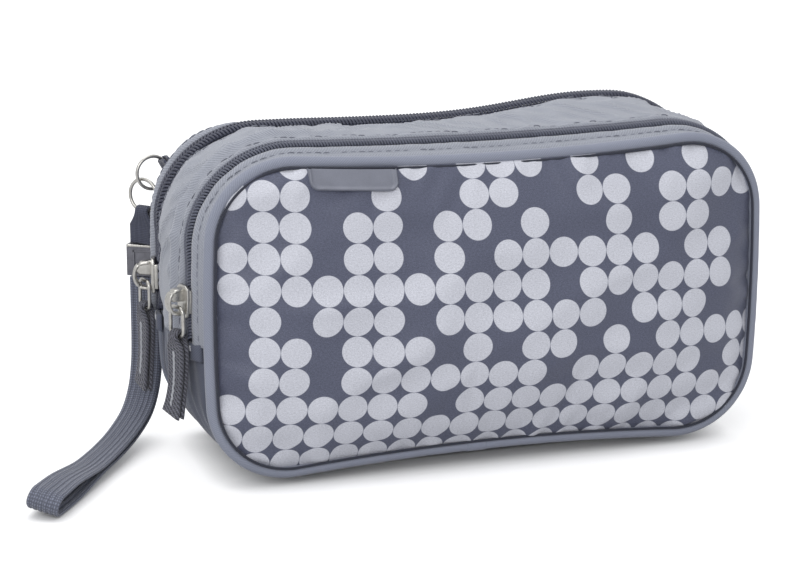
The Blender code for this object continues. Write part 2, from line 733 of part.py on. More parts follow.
def strap_head(parent):
    """The short webbing fold in the strap ring, the bar under it and the crimped clamp."""
    eye = strap_loop_eye()
    length = eye.z - CLAMP_TOP_Z - 1.6 * MM
    folded_tab("strap_top_loop", eye, turned(STRAP_RING_TURN), DOWN, RING_EYE, RING_NECK, length,
               WEB_WIDTH, TOP_LOOP_THICK, "webbing", parent)
    bar_z = CLAMP_TOP_Z + 0.9 * MM
    reach = 0.5 * BAR_LENGTH * STRAP_WAY
    ends = [Vector((eye.x, eye.y, bar_z)) + side * reach for side in (-1, 1)]
    tube("strap_bar", ends, BAR_RADIUS, "nickel", parent)
    clamp(eye, parent)


def clamp(eye, parent):
    """A crimped plate with a raised rectangle on its faces."""
    half_thick, half_width, half_height = (0.5 * size for size in CLAMP_SIZE)
    proud, side = CLAMP_RAISED
    middle = Vector((eye.x, eye.y, CLAMP_TOP_Z - half_height))
    place = frame_matrix(middle, LAY_WAY, STRAP_WAY)
    plate = box_between("strap_clamp", (-half_thick, -half_width, -half_height),
                        (half_thick, half_width, half_height))
    raised = box_between("raised", (-half_thick - proud, -0.5 * side, -0.5 * side),
                         (half_thick + proud, 0.5 * side, 0.5 * side))
    plate.transform(place)
    raised.transform(place)
    made = add_object("strap_clamp", plate, "clamp", parent)
    join_to(made, raised, "strap_clamp_raised")


def smooth_path(points, steps):
    """Catmull-Rom curve through points, with steps to each span."""
    ends = [2.0 * points[0] - points[1]] + points + [2.0 * points[-1] - points[-2]]
    path = []
    for k in range(1, len(ends) - 2):
        a, b, c, d = ends[k - 1:k + 3]
        for step in range(steps):
            t = step / steps
            path.append(0.5 * (2.0 * b + (c - a) * t + (2.0 * a - 5.0 * b + 4.0 * c - d) * t ** 2
                               + (3.0 * b - a - 3.0 * c + d) * t ** 3))
    path.append(points[-1])
    return path


def wrist_strap(parent):
    """One length of webbing, doubled: it opens into an eye where it lies on the surface."""
    eye = strap_loop_eye()
    closed, opened = LAYER_APART
    lay = [Vector((eye.x, eye.y, z * MM)) + LAY_WAY * (along * MM) for along, z in STRAP_LAY]
    path = smooth_path(lay, 2)
    count = len(path)
    near, far = [], []
    for i, point in enumerate(path):
        tangent = (path[min(i + 1, count - 1)] - path[max(i - 1, 0)]).normalized()
        face = STRAP_WAY.cross(tangent).normalized()
        share = max(0.0, min(1.0, (i / (count - 1) - 0.55) / 0.25))
        apart = closed + (opened - closed) * share ** 2 * (3.0 - 2.0 * share)
        near.append((point + face * apart, face))
        far.append((point - face * apart, -face))
    tip_face = near[-1][1]
    fold = []
    for step in range(1, 6):
        angle = math.pi * step / 6
        way = tip_face * math.cos(angle) + tangent * math.sin(angle)
        fold.append((path[-1] + way * opened, way))
    frames = near + fold + list(reversed(far))
    points, faces = [], []
    for middle, way in frames:
        for side, out in ((-1, -1), (1, -1), (1, 1), (-1, 1)):
            points.append(middle + STRAP_WAY * side * 0.5 * WEB_WIDTH
                          + way * out * 0.5 * WEB_THICK)
    for i in range(len(frames) - 1):
        for k in range(4):
            following = (k + 1) % 4
            faces.append((4 * i + k, 4 * i + following,
                          4 * i + 4 + following, 4 * i + 4 + k))
    faces.append((0, 1, 2, 3))
    last = 4 * (len(frames) - 1)
    faces.append((last, last + 1, last + 2, last + 3))
    mesh_from("wrist_strap", points, faces, "webbing", parent)


# ---------------------------------------------------------------- the whole pouch

def build():
    """Make every sub-part in its place."""
    clear_scene()
    hinges = {where: joint_empty(where + "_cover_axis", HINGE[where]) for where in HINGE}
    gussets(hinges["front"], hinges["rear"])
    for where, side in (("front", -1), ("rear", 1)):
        hinge, height = hinges[where], BULGE[where]
        panel(where + "_panel_upper", side, True, height, "dark_satin", PANEL_THICK,
              parent=hinge)
        panel(where + "_panel_lower", side, False, height, "dark_satin", PANEL_THICK,
              grid=(14, 6))
        panel(where + "_lining", side, True, height, "lining", LINING_THICK,
              PANEL_THICK + 2.0 * GAP, hinge, (8, 5))
        piping(where + "_piping_upper", side, True, hinge)
        piping(where + "_piping_lower", side, False)
        zipper(where, hinge)
        for side_name, end_side in (("left", -1), ("right", 1)):
            zip_end(f"{where}_zip_end_{side_name}", where, end_side)
        origin = slider_place(where).translation
        slider(where, joint_empty(where + "_slider_origin", origin))
        top = link_top(where)
        pull_link(where, joint_empty(where + "_pull_link_axis", top))
        low = top + DOWN * LINK_DROP
        folded_tab(where + "_pull_tab", low, turned(LINK_TURN[where]), DOWN, TAB_EYE, TAB_NECK,
                   TAB_LENGTH, TAB_WIDTH, TAB_THICK, "webbing",
                   joint_empty(where + "_pull_tab_axis", low))
    badge(hinges["front"])
    divider()
    elastic_loops()
    mesh_pocket()
    ring_tab(hinges["rear"])
    side_axis = joint_empty("side_ring_axis", on_side_ring(TAB_ANGLE))
    ring("side_ring", SIDE_RING_CENTRE, RING_WAY, UP, side_axis)
    strap_ring_axis = joint_empty("strap_ring_axis", on_side_ring(LINK_ANGLE))
    ring("strap_ring", strap_ring_centre(), turned(STRAP_RING_TURN), UP, strap_ring_axis)
    strap_axis = joint_empty("strap_axis", strap_loop_eye())
    strap_head(strap_axis)
    wrist_strap(strap_axis)


build()
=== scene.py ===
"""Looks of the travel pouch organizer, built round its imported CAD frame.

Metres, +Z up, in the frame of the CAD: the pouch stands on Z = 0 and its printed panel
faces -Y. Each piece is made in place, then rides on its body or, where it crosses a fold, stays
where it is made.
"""
import json
import math

import bmesh
import bpy
import numpy as np
from mathutils import Matrix, Vector, noise


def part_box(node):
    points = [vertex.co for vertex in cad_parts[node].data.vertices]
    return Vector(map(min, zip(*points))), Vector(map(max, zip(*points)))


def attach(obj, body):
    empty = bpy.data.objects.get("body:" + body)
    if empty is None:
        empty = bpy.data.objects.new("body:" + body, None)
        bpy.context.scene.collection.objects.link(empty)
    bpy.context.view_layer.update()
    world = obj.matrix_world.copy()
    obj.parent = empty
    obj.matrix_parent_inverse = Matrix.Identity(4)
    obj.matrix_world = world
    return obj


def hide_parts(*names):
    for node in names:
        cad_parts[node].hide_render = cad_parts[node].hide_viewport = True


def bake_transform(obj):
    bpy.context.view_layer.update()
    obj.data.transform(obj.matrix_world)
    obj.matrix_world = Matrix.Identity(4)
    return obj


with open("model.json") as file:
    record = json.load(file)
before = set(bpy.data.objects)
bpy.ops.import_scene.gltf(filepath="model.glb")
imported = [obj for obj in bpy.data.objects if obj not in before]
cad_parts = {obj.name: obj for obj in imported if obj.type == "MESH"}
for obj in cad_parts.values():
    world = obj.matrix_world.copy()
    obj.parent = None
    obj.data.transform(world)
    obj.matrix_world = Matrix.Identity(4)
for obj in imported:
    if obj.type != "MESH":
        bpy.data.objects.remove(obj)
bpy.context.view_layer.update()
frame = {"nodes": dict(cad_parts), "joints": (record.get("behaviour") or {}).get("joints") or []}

MM = 0.001
UP = Vector((0.0, 0.0, 1.0))
DOWN = -UP
JOINTS = {joint["name"]: joint for joint in frame["joints"]}

# The pouch's outline, as in the CAD
SEAM_Y = 30.5 * MM
SEAM_HALF_WIDTH = 89.5 * MM
SEAM_TOP_Z = 104.0 * MM
SEAM_BOTTOM_Z = 4.0 * MM
SEAM_CORNER = 24.0 * MM
GUSSET_SWELL = 6.8 * MM
TOP_SWELL = 5.5 * MM
BASE_DROP = 5.2 * MM
CORNER_SWELL = 9.5 * MM
SIDE_BOW = 2.1 * MM
TOP_SAG = 4.7 * MM
BASE_ARCH = 4.9 * MM
FLAT_BASE_Y = 19.0 * MM
SWELL_POWER = 4.0
FOLD_Z = JOINTS["front_cover_open"]["pos_m"][2]
BULGE = {"front": 13.4 * MM, "rear": 7.0 * MM}
PANEL_THICK = 2.0 * MM
PIPING_RADIUS = 1.9 * MM
PIPING_OUT = 0.6 * MM
GAP = 0.3 * MM

# Zippers
ZIP_Y = {"front": -20.0 * MM, "rear": 20.0 * MM}
COIL_WIDTH = {"front": 2.0 * MM, "rear": 2.8 * MM}
TOOTH_PITCH = {"front": 1.0 * MM, "rear": 1.2 * MM}
COIL_GAP = 1.2 * MM
COIL_RISE = {"front": 1.8 * MM, "rear": 2.8 * MM}
COIL_RISE_LOW = 1.0 * MM                            # under the slider's plate
TAPE_TOP = 1.45 * MM
ZIP_START_Z = 48.0 * MM
COVER_SIDE = {"front": -1.0, "rear": 1.0}
SIDE_OF = {"front": -1, "rear": 1}


# ---------------------------------------------------------------- meshes

def mesh_object(name, points, faces, corner_uvs=None, smooth=True):
    """A mesh object from points, faces and a UV pair for each corner of each face."""
    mesh = bpy.data.meshes.new(name)
    mesh.from_pydata([tuple(point) for point in points], [], faces)
    if corner_uvs is not None:
        layer = mesh.uv_layers.new(name="flat")
        layer.data.foreach_set("uv", np.array(corner_uvs, np.float32).ravel())
    if smooth:
        mesh.shade_smooth()
    made = bpy.data.objects.new(name, mesh)
    bpy.context.scene.collection.objects.link(made)
    return made


def run_lengths(points, closed=False):
    """Distance along a line of points, starting at 0."""
    ends = points[1:] + ([points[0]] if closed else [])
    total = [0.0]
    for a, b in zip(points, ends):
        total.append(total[-1] + (b - a).length)
    return total


def lattice(name, rows, wrap=False, loop=False, caps=False, flip=False, smooth=True):
    """A surface through rows of points, with its unrolled size in metres as its UV map.

    wrap joins each row's ends, loop joins the last row to the first, and caps closes the
    first and last rows.
    """
    count, width = len(rows), len(rows[0])
    along = run_lengths([row[width // 2] for row in rows], loop)
    across = run_lengths(rows[count // 2], wrap)
    points = [point for row in rows for point in row]
    faces, uvs = [], []
    for i in range(count if loop else count - 1):
        for j in range(width if wrap else width - 1):
            a, b = i * width + j, i * width + (j + 1) % width
            c, d = (i + 1) % count * width + (j + 1) % width, (i + 1) % count * width + j
            quad = [(a, (along[i], across[j])), (b, (along[i], across[j + 1])),
                    (c, (along[i + 1], across[j + 1])), (d, (along[i + 1], across[j]))]
            if flip:
                quad.reverse()
            faces.append([corner for corner, _ in quad])
            uvs.extend(uv for _, uv in quad)
    if caps:
        for first, turn in ((0, not flip), ((count - 1) * width, flip)):
            ring = list(range(first, first + width))
            if turn:
                ring.reverse()
            faces.append(ring)
            uvs.extend((0.0, 0.0) for _ in ring)
    return mesh_object(name, points, faces, uvs, smooth)


def subdivide(piece, levels=1):
    """Catmull-Clark smoothing as a modifier."""
    modifier = piece.modifiers.new("smooth", "SUBSURF")
    modifier.levels = levels
    modifier.render_levels = levels
    return piece


def thicken(piece, thick, offset=-1.0):
    """Give a sheet its thickness."""
    modifier = piece.modifiers.new("thickness", "SOLIDIFY")
    modifier.thickness = thick
    modifier.offset = offset
    return piece


def joined(name, pieces):
    """One object from several, keeping their UVs."""
    work = bmesh.new()
    for piece in pieces:
        work.from_mesh(piece.data)
    mesh = bpy.data.meshes.new(name)
    work.to_mesh(mesh)
    work.free()
    for piece in pieces:
        old = piece.data
        bpy.data.objects.remove(piece, do_unlink=True)
        bpy.data.meshes.remove(old)
    made = bpy.data.objects.new(name, mesh)
    bpy.context.scene.collection.objects.link(made)
    return made


def wave(point, size, seed=0.0):
    """Smooth noise of about -1 to 1, with features of about that size."""
    return noise.noise(Vector(point) / size + Vector((seed, 1.7 * seed, -seed)))


# ---------------------------------------------------------------- outline of the pouch

def swell(y):
    """0 at the seam planes, 1 at mid-depth."""
    return 1.0 - min(1.0, abs(y) / SEAM_Y) ** SWELL_POWER


def sizes(y):
    """Half-width, top, bottom, corner radius and base arch of the section at depth y."""
    half = SEAM_HALF_WIDTH + GUSSET_SWELL * swell(y)
    top = SEAM_TOP_Z + TOP_SWELL * swell(y)
    bottom = max(0.0, SEAM_BOTTOM_Z - BASE_DROP * swell(y))
    corner = SEAM_CORNER + CORNER_SWELL * swell(y)
    past_flat = max(0.0, abs(y) - FLAT_BASE_Y) / (SEAM_Y - FLAT_BASE_Y)
    return half, top, bottom, corner, BASE_ARCH * min(1.0, past_flat)


def warp(x, z, y):
    """Bow the sides out, let the top sag and arch the base."""
    half, top, bottom, _, arch = sizes(y)
    across = 1.0 - min(1.0, abs(x / half)) ** 2
    tall = 2.0 * (z - bottom) / (top - bottom) - 1.0
    up = max(0.0, (z - FOLD_Z) / (top - FOLD_Z))
    down = max(0.0, (FOLD_Z - z) / (FOLD_Z - bottom))
    sag = TOP_SAG * (1.0 - 0.45 * swell(y))
    bowed = x * (1.0 + SIDE_BOW / half * (1.0 - tall * tall))
    return bowed, z - sag * across * up + arch * across * down


def smooth(share):
    """0 to 1 with soft ends."""
    share = max(0.0, min(1.0, share))
    return share * share * (3.0 - 2.0 * share)


def rear_lift(x, y):
    """The rear compartment's top stands higher towards the right end."""
    share = smooth((y + 12.0 * MM) / (26.0 * MM)) * smooth((SEAM_Y - y) / (8.0 * MM))
    return share * (4.0 * MM * math.exp(-((x - 50.0 * MM) / (32.0 * MM)) ** 2) - 0.9 * MM)


def section(y, upper, start_z, counts):
    """(point, outward direction) pairs round the upper or lower part of a section."""
    side_steps, corner_steps, flat_steps = counts
    half, top, bottom, corner, _ = sizes(y)
    level = top if upper else bottom
    turn = 1.0 if upper else -1.0
    base = []
    for step in range(side_steps):
        rise = (level - turn * corner - start_z) * step / side_steps
        base.append((-half, start_z + rise, -1.0, 0.0))
    for step in range(corner_steps):
        angle = 0.5 * math.pi * step / corner_steps
        lean_x, lean_z = -math.cos(angle), turn * math.sin(angle)
        base.append((-half + corner * (1.0 + lean_x), level - turn * corner + corner * lean_z,
                     lean_x, lean_z))
    for step in range(flat_steps // 2):
        base.append((-(half - corner) * (1.0 - 2.0 * step / flat_steps), level, 0.0, turn))
    mirrored = [(-x, z, -lean_x, lean_z) for x, z, lean_x, lean_z in reversed(base)]
    found = []
    for x, z, lean_x, lean_z in base + [(0.0, level, 0.0, turn)] + mirrored:
        warped_x, warped_z = warp(x, z, y)
        if upper:
            warped_z += max(0.0, lean_z) ** 2 * rear_lift(warped_x, y)
        found.append((Vector((warped_x, y, warped_z)), Vector((lean_x, 0.0, lean_z))))
    return found


FINE = (20, 24, 84)         # steps up a side, round a corner and across the top or base
FINER = (34, 40, 140)


def line_at(y, depth, upper=True, start_z=FOLD_Z, counts=FINE):
    """Points round a section at a depth above the surface."""
    return [point + lean * depth for point, lean in section(y, upper, start_z, counts)]


def loop_at(y, depth, counts=FINE):
    """The closed line round a whole section."""
    upper = line_at(y, depth, True, FOLD_Z, counts)
    lower = line_at(y, depth, False, FOLD_Z, counts)
    return upper + list(reversed(lower))[1:-1]


def bulge(x, z, height):
    """How far a padded panel stands out of its seam plane."""
    across = min(1.0, abs(x) / (SEAM_HALF_WIDTH + SIDE_BOW)) ** 2
    middle = 0.5 * (SEAM_TOP_Z + SEAM_BOTTOM_Z)
    tall = max(-1.0, min(1.0, (z - middle) / (SEAM_TOP_Z - middle)))
    crown = (1.0 - tall ** 2) * (1.0 - 0.336 * tall + 0.07 * tall ** 2 + 0.834 * tall ** 3)
    return height * (1.0 - across) * (1.0 + 0.66 * across) * crown


# ---------------------------------------------------------------- materials

DOT_PITCH = 9.7 * MM
DOT_RADIUS = 4.83 * MM
DOT_ORIGIN = (-0.64 * MM, -0.63 * MM)
DOT_TURN = math.radians(-1.94)
DOT_COLUMNS = range(-10, 10)
DOT_ROWS = range(-6, 6)
# Columns left unprinted in each row, counted from the middle; rows below -2 are whole
DOT_GAPS = {
    5: (-10, -9, -8, -6, -5, -4, -2, 2, 4, 6, 8, 9),
    4: (-10, -6, -5, -3, -2, 1, 2, 5),
    3: (-10, -9, -6, -3, 0, 2, 3, 5, 8, 9),
    2: (-10, -6, -3, -1, 6, 9),
    1: (-10, 2, 9),
    0: (-9, -7, -3, 4, 8, 9),
    -1: (-10, -9, -6, -2, 0, 3, 5),
    -2: (-10, -9, -6, 2, 8),
    -3: (-10, -2)}

class Maker:
    """A Principled material whose nodes are added one after another."""

    def __init__(self, name, rough, metallic=0.0, sheen=0.0, sheen_rough=0.4, specular=0.5):
        self.material = bpy.data.materials.new(name)
        self.material.use_nodes = True
        self.tree = self.material.node_tree
        self.shader = self.tree.nodes["Principled BSDF"]
        for socket, value in (("Roughness", rough), ("Metallic", metallic),
                              ("Sheen Weight", sheen), ("Sheen Roughness", sheen_rough),
                              ("Specular IOR Level", specular)):
            self.shader.inputs[socket].default_value = value

    def add(self, kind, inputs=(), **settings):
        """A node, with (socket, value or output) pairs for its inputs."""
        made = self.tree.nodes.new(kind)
        for key, value in settings.items():
            setattr(made, key, value)
        for socket, value in inputs:
            if isinstance(value, bpy.types.NodeSocket):
                self.tree.links.new(value, made.inputs[socket])
            else:
                made.inputs[socket].default_value = value
        return made

    def math(self, operation, first, second=0.0, clamp=False):
        made = self.add("ShaderNodeMath", ((0, first), (1, second)), operation=operation)
        made.use_clamp = clamp
        return made.outputs[0]

    def flat(self):
        """The unrolled coordinates in millimetres: U and V."""
        where = self.add("ShaderNodeTexCoord").outputs["UV"]
        scaled = self.add("ShaderNodeVectorMath", ((0, where),), operation="SCALE")
        scaled.inputs["Scale"].default_value = 1.0 / MM
        split = self.add("ShaderNodeSeparateXYZ", ((0, scaled.outputs[0]),))
        return split.outputs[0], split.outputs[1], scaled.outputs[0]

    def solid(self):
        """Object coordinates in millimetres, as a vector."""
        where = self.add("ShaderNodeTexCoord").outputs["Object"]
        scaled = self.add("ShaderNodeVectorMath", ((0, where),), operation="SCALE")
        scaled.inputs["Scale"].default_value = 1.0 / MM
        return scaled.outputs[0]

    def ripple(self, value, pitch):
        """0 to 1 and back once for each pitch, in millimetres."""
        turn = self.math("MULTIPLY", value, 2.0 * math.pi / pitch)
        return self.half(self.math("SINE", turn))

    def half(self, value):
        """-1..1 to 0..1."""
        return self.math("ADD", self.math("MULTIPLY", value, 0.5), 0.5)

    def cloud(self, where, size, detail=3.0, rough=0.55):
        """Noise of 0 to 1 with features of a size in millimetres."""
        made = self.add("ShaderNodeTexNoise", (("Vector", where), ("Scale", 1.0 / size),
                                               ("Detail", detail), ("Roughness", rough)))
        return made.outputs["Fac"]

    def ramp(self, value, stops):
        """A colour ramp with (place, colour) stops."""
        made = self.add("ShaderNodeValToRGB", ((0, value),))
        elements = made.color_ramp.elements
        while len(elements) < len(stops):
            elements.new(0.5)
        for element, (place, colour) in zip(elements, stops):
            element.position = place
            element.color = (*colour, 1.0)
        return made.outputs[0]

    def mix(self, share, first, second, blend="MIX"):
        made = self.add("ShaderNodeMix", data_type="RGBA", blend_type=blend)
        for socket, value in ((0, share), (6, first), (7, second)):
            if isinstance(value, bpy.types.NodeSocket):
                self.tree.links.new(value, made.inputs[socket])
            elif socket == 0:
                made.inputs[socket].default_value = value
            else:
                made.inputs[socket].default_value = (*value, 1.0)
        return made.outputs[2]

    def colour(self, value):
        self.tree.links.new(value, self.shader.inputs["Base Color"])

    def rough(self, value, low, high):
        made = self.add("ShaderNodeMapRange", ((0, value), (3, low), (4, high)))
        self.tree.links.new(made.outputs[0], self.shader.inputs["Roughness"])

    def bump(self, height, depth, strength=1.0):
        made = self.add("ShaderNodeBump", (("Height", height), ("Distance", depth),
                                           ("Strength", strength)))
        self.tree.links.new(made.outputs[0], self.shader.inputs["Normal"])


def shade(colour, factor):
    """A colour made darker or lighter."""
    return tuple(min(1.0, channel * factor) for channel in colour)


def fabric(name, colour, pitch=0.55, kind="twill", rough=0.8, sheen=0.25, contrast=0.16,
           relief=0.05, blotch=0.06, specular=0.3):
    """Woven cloth: yarn relief, speckle of single yarns and slow fading of the dye."""
    made = Maker(name, rough, sheen=sheen, specular=specular)
    u, v, where = made.flat()
    wander = made.math("MULTIPLY", made.cloud(where, 2.4, 2.0), 0.5 * pitch)
    if kind == "twill":
        diagonal = made.math("ADD", made.math("ADD", u, v), wander)
        yarn = made.ripple(diagonal, 1.4 * pitch)
        cross = made.ripple(made.math("SUBTRACT", u, v), 0.7 * pitch)
        weave = made.math("ADD", made.math("MULTIPLY", yarn, 0.7),
                          made.math("MULTIPLY", cross, 0.3))
    elif kind == "rib":
        yarn = made.ripple(made.math("ADD", u, wander), pitch)
        cross = made.ripple(v, 2.2 * pitch)
        weave = made.math("ADD", made.math("MULTIPLY", yarn, 0.75),
                          made.math("MULTIPLY", cross, 0.25))
    else:
        weave = made.math("MULTIPLY", made.ripple(made.math("ADD", u, wander), pitch),
                          made.ripple(made.math("ADD", v, wander), pitch))
    speckle = made.cloud(where, 0.35, 2.0, 0.7)
    slow = made.cloud(where, 22.0, 3.0)
    mixed = made.math("ADD", made.math("MULTIPLY", weave, 0.5),
                      made.math("MULTIPLY", speckle, 0.5))
    dyed = made.ramp(mixed, ((0.2, shade(colour, 1.0 - contrast)),
                             (0.8, shade(colour, 1.0 + contrast))))
    worn = made.ramp(slow, ((0.3, (1.0 - blotch,) * 3), (0.7, (1.0,) * 3)))
    made.colour(made.mix(1.0, dyed, worn, "MULTIPLY"))
    made.rough(speckle, rough - 0.08, min(1.0, rough + 0.08))
    fuzz = made.math("ADD", weave, made.math("MULTIPLY", speckle, 0.5))
    made.bump(fuzz, relief * MM)
    return made


def printed_satin(name, base, ink):
    """The front panel's satin with its light dots, placed by the unrolled coordinates."""
    made = Maker(name, 0.5, sheen=0.35, sheen_rough=0.35, specular=0.45)
    u, v, where = made.flat()
    yarn = made.ripple(made.math("ADD", u, made.math("MULTIPLY", v, 0.6)), 0.7)
    thread = made.ripple(v, 0.42)
    weave = made.math("ADD", made.math("MULTIPLY", yarn, 0.5),
                      made.math("MULTIPLY", thread, 0.5))
    speckle = made.cloud(where, 0.3, 2.0, 0.75)
    streak = made.add("ShaderNodeVectorMath", ((0, where), (1, (0.8, 1.5, 1.0))),
                      operation="MULTIPLY").outputs[0]
    slub = made.cloud(streak, 0.6, 3.0, 0.7)
    slow = made.cloud(where, 30.0, 3.0)
    grain = made.math("ADD", made.math("MULTIPLY", speckle, 0.55),
                      made.math("MULTIPLY", slub, 0.45))
    cloth = made.ramp(grain, ((0.35, shade(base, 0.62)), (0.65, shade(base, 1.42))))
    print_ = made.ramp(grain, ((0.35, shade(ink, 0.72)), (0.62, shade(ink, 1.12))))
    inked = dots(made, u, v, made.math("MULTIPLY", speckle, 0.1))
    body = made.mix(inked, cloth, print_)
    faded = made.ramp(slow, ((0.3, (0.95,) * 3), (0.7, (1.0,) * 3)))
    made.colour(made.mix(1.0, body, faded, "MULTIPLY"))
    made.rough(inked, 0.46, 0.6)
    height = made.math("ADD", weave, made.math("MULTIPLY", speckle, 0.8))
    made.bump(made.math("ADD", height, made.math("MULTIPLY", inked, 0.4)), 0.03 * MM)
    return made


def dots(made, u, v, fray):
    """1 where the print's ink lies at the unrolled place (u, v), in millimetres."""
    cos, sin, pitch = math.cos(DOT_TURN), math.sin(DOT_TURN), DOT_PITCH / MM
    du = made.math("SUBTRACT", u, DOT_ORIGIN[0] / MM)
    dv = made.math("SUBTRACT", v, DOT_ORIGIN[1] / MM)
    across = made.math("ADD", made.math("MULTIPLY", du, cos / pitch),
                       made.math("MULTIPLY", dv, sin / pitch))
    tall = made.math("SUBTRACT", made.math("MULTIPLY", dv, cos / pitch),
                     made.math("MULTIPLY", du, sin / pitch))
    column = made.math("FLOOR", made.math("ADD", across, 0.5))
    row = made.math("FLOOR", made.math("ADD", tall, 0.5))
    off_x = made.math("SUBTRACT", across, column)
    off_y = made.math("SUBTRACT", tall, row)
    reach = made.math("SQRT", made.math("ADD", made.math("MULTIPLY", off_x, off_x),
                                        made.math("MULTIPLY", off_y, off_y)))
    reach = made.math("ADD", made.math("MULTIPLY", reach, pitch), fray)
    edge = DOT_RADIUS / MM
    round_dot = made.add("ShaderNodeMapRange", ((0, reach), (1, edge + 0.1), (2, edge - 0.06),
                                                (3, 0.0), (4, 1.0))).outputs[0]
    first, count = DOT_COLUMNS[0], len(DOT_COLUMNS)
    place = made.math("DIVIDE", made.math("SUBTRACT", column, first - 0.5), count)
    gaps = 0.0
    for level, missing in DOT_GAPS.items():
        ramp = made.add("ShaderNodeValToRGB", ((0, place),))
        stops, last = [], None
        for k, at in enumerate(DOT_COLUMNS):
            if (at in missing) is not last:
                last = at in missing
                stops.append((k / count, last))
        elements = ramp.color_ramp.elements
        ramp.color_ramp.interpolation = "CONSTANT"
        while len(elements) < len(stops):
            elements.new(1.0)
        for element, (position, empty) in zip(elements, stops):
            element.position = position
            element.color = (1.0, 1.0, 1.0, 1.0) if empty else (0.0, 0.0, 0.0, 1.0)
        here = made.math("COMPARE", row, level)
        here.node.inputs[2].default_value = 0.1
        gaps = made.math("ADD", gaps, made.math("MULTIPLY", here, ramp.outputs[0]))
    return made.math("MULTIPLY", round_dot, made.math("SUBTRACT", 1.0, gaps, True))


def metal(name, colour, rough=0.28, brushed=True):
    """Plated metal with fine brushing and slightly worn patches."""
    made = Maker(name, rough, metallic=1.0)
    where = made.solid()
    stretched = made.add("ShaderNodeVectorMath", ((0, where), (1, (1.0, 1.0, 0.12))),
                         operation="MULTIPLY").outputs[0]
    lines = made.cloud(stretched if brushed else where, 0.16, 2.0)
    patches = made.cloud(where, 2.2, 3.0)
    tone = made.math("ADD", made.math("MULTIPLY", lines, 0.35),
                     made.math("MULTIPLY", patches, 0.65))
    made.colour(made.ramp(tone, ((0.3, shade(colour, 0.72)), (0.7, shade(colour, 1.1)))))
    made.rough(tone, rough - 0.1, rough + 0.16)
    made.bump(lines, 0.012 * MM)
    return made


def moulded(name, colour, rough=0.5, grain=0.3, relief=0.02):
    """Moulded rubber or nylon with a fine grain."""
    made = Maker(name, rough)
    where = made.solid()
    pores = made.cloud(where, grain, 3.0)
    slow = made.cloud(where, 6.0)
    tone = made.math("ADD", made.math("MULTIPLY", pores, 0.5), made.math("MULTIPLY", slow, 0.5))
    made.colour(made.ramp(tone, ((0.3, shade(colour, 0.85)), (0.7, shade(colour, 1.15)))))
    made.rough(tone, rough - 0.08, rough + 0.1)
    made.bump(pores, relief * MM)
    return made


SATIN = (0.089, 0.097, 0.146)
INK = (0.62, 0.63, 0.695)
LIGHT = (0.315, 0.33, 0.378)
DARK = (0.105, 0.115, 0.155)

MATERIALS = {
    "printed_satin": printed_satin("printed_satin", SATIN, INK),
    "dark_satin": fabric("dark_satin", SATIN, 0.42, "twill", 0.55, 0.3, 0.2, 0.03),
    "light_twill": fabric("light_twill", LIGHT, 0.68, "twill", 0.75, 0.3, 0.24, 0.1),
    "base_twill": fabric("base_twill", DARK, 0.6, "twill", 0.75, 0.25, 0.2, 0.06),
    "piping": fabric("piping", (0.25, 0.268, 0.335), 0.6, "twill", 0.6, 0.3, 0.2, 0.07),
    "lining": fabric("lining", (0.25, 0.26, 0.30), 0.45, "plain", 0.6, 0.2, 0.1, 0.03),
    "zip_tape": fabric("zip_tape", (0.13, 0.14, 0.18), 0.5, "rib", 0.8, 0.2, 0.2, 0.06),
    "webbing": fabric("strap_webbing", (0.172, 0.185, 0.24), 0.9, "plain", 0.7, 0.3, 0.46, 0.16),
    "pull_webbing": fabric("pull_webbing", (0.094, 0.095, 0.116), 0.95, "twill", 0.65, 0.3, 0.95,
                           0.2),
    "dark_webbing": fabric("dark_webbing", (0.06, 0.065, 0.095), 0.6, "rib", 0.7, 0.3, 0.3,
                           0.1),
    "elastic": fabric("elastic", (0.035, 0.036, 0.045), 0.9, "rib", 0.75, 0.25, 0.3, 0.12),
    "mesh": moulded("mesh", (0.05, 0.052, 0.07), 0.6, 0.2, 0.01),
    # Near-black, for the painted shadow line beside the piping
    "seam": fabric("seam", (0.035, 0.038, 0.055), 0.4),
    # Thread for the stitches, darker than the light strips it is sewn on: partly the thread's
    # own colour, partly painted shade along the sunk stitch line. The still darker copy below is
    # painted shade only, and nothing uses it.
    "thread": fabric("thread", (0.19, 0.2, 0.24), 0.3, "rib", 0.6, 0.3, 0.2, 0.02),
    "dark_thread": fabric("dark_thread", (0.10, 0.11, 0.15), 0.3, "rib", 0.6, 0.3, 0.2, 0.02),
    "white_thread": fabric("white_thread", (0.62, 0.63, 0.66), 0.3, "rib", 0.5, 0.3, 0.15,
                           0.02),
    "reflective": moulded("reflective", (0.36, 0.37, 0.40), 0.4, 0.15, 0.02),
    "coil_mid": moulded("coil_mid", (0.088, 0.095, 0.13), 0.38, 0.2, 0.01),
    "coil_dark": moulded("coil_dark", (0.05, 0.054, 0.082), 0.36, 0.2, 0.01),
    "rubber": moulded("rubber", (0.185, 0.194, 0.236), 0.45, 0.25, 0.03),
    "nickel": metal("nickel", (0.60, 0.585, 0.55), 0.27),
    "clamp_metal": metal("clamp_metal", (0.2, 0.2, 0.225), 0.42)}


def finish_piece(piece, material, body=None, blend=None, replaces=()):
    """Material, the body a piece moves with, and what it replaces; a piece given blend is only
    baked in place.
    """
    piece.data.materials.clear()
    piece.data.materials.append(MATERIALS[material].material)
    if blend:
        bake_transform(piece)
    else:
        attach(piece, body)
    if replaces:
        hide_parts(*replaces)
    return piece


# ---------------------------------------------------------------- padded panels

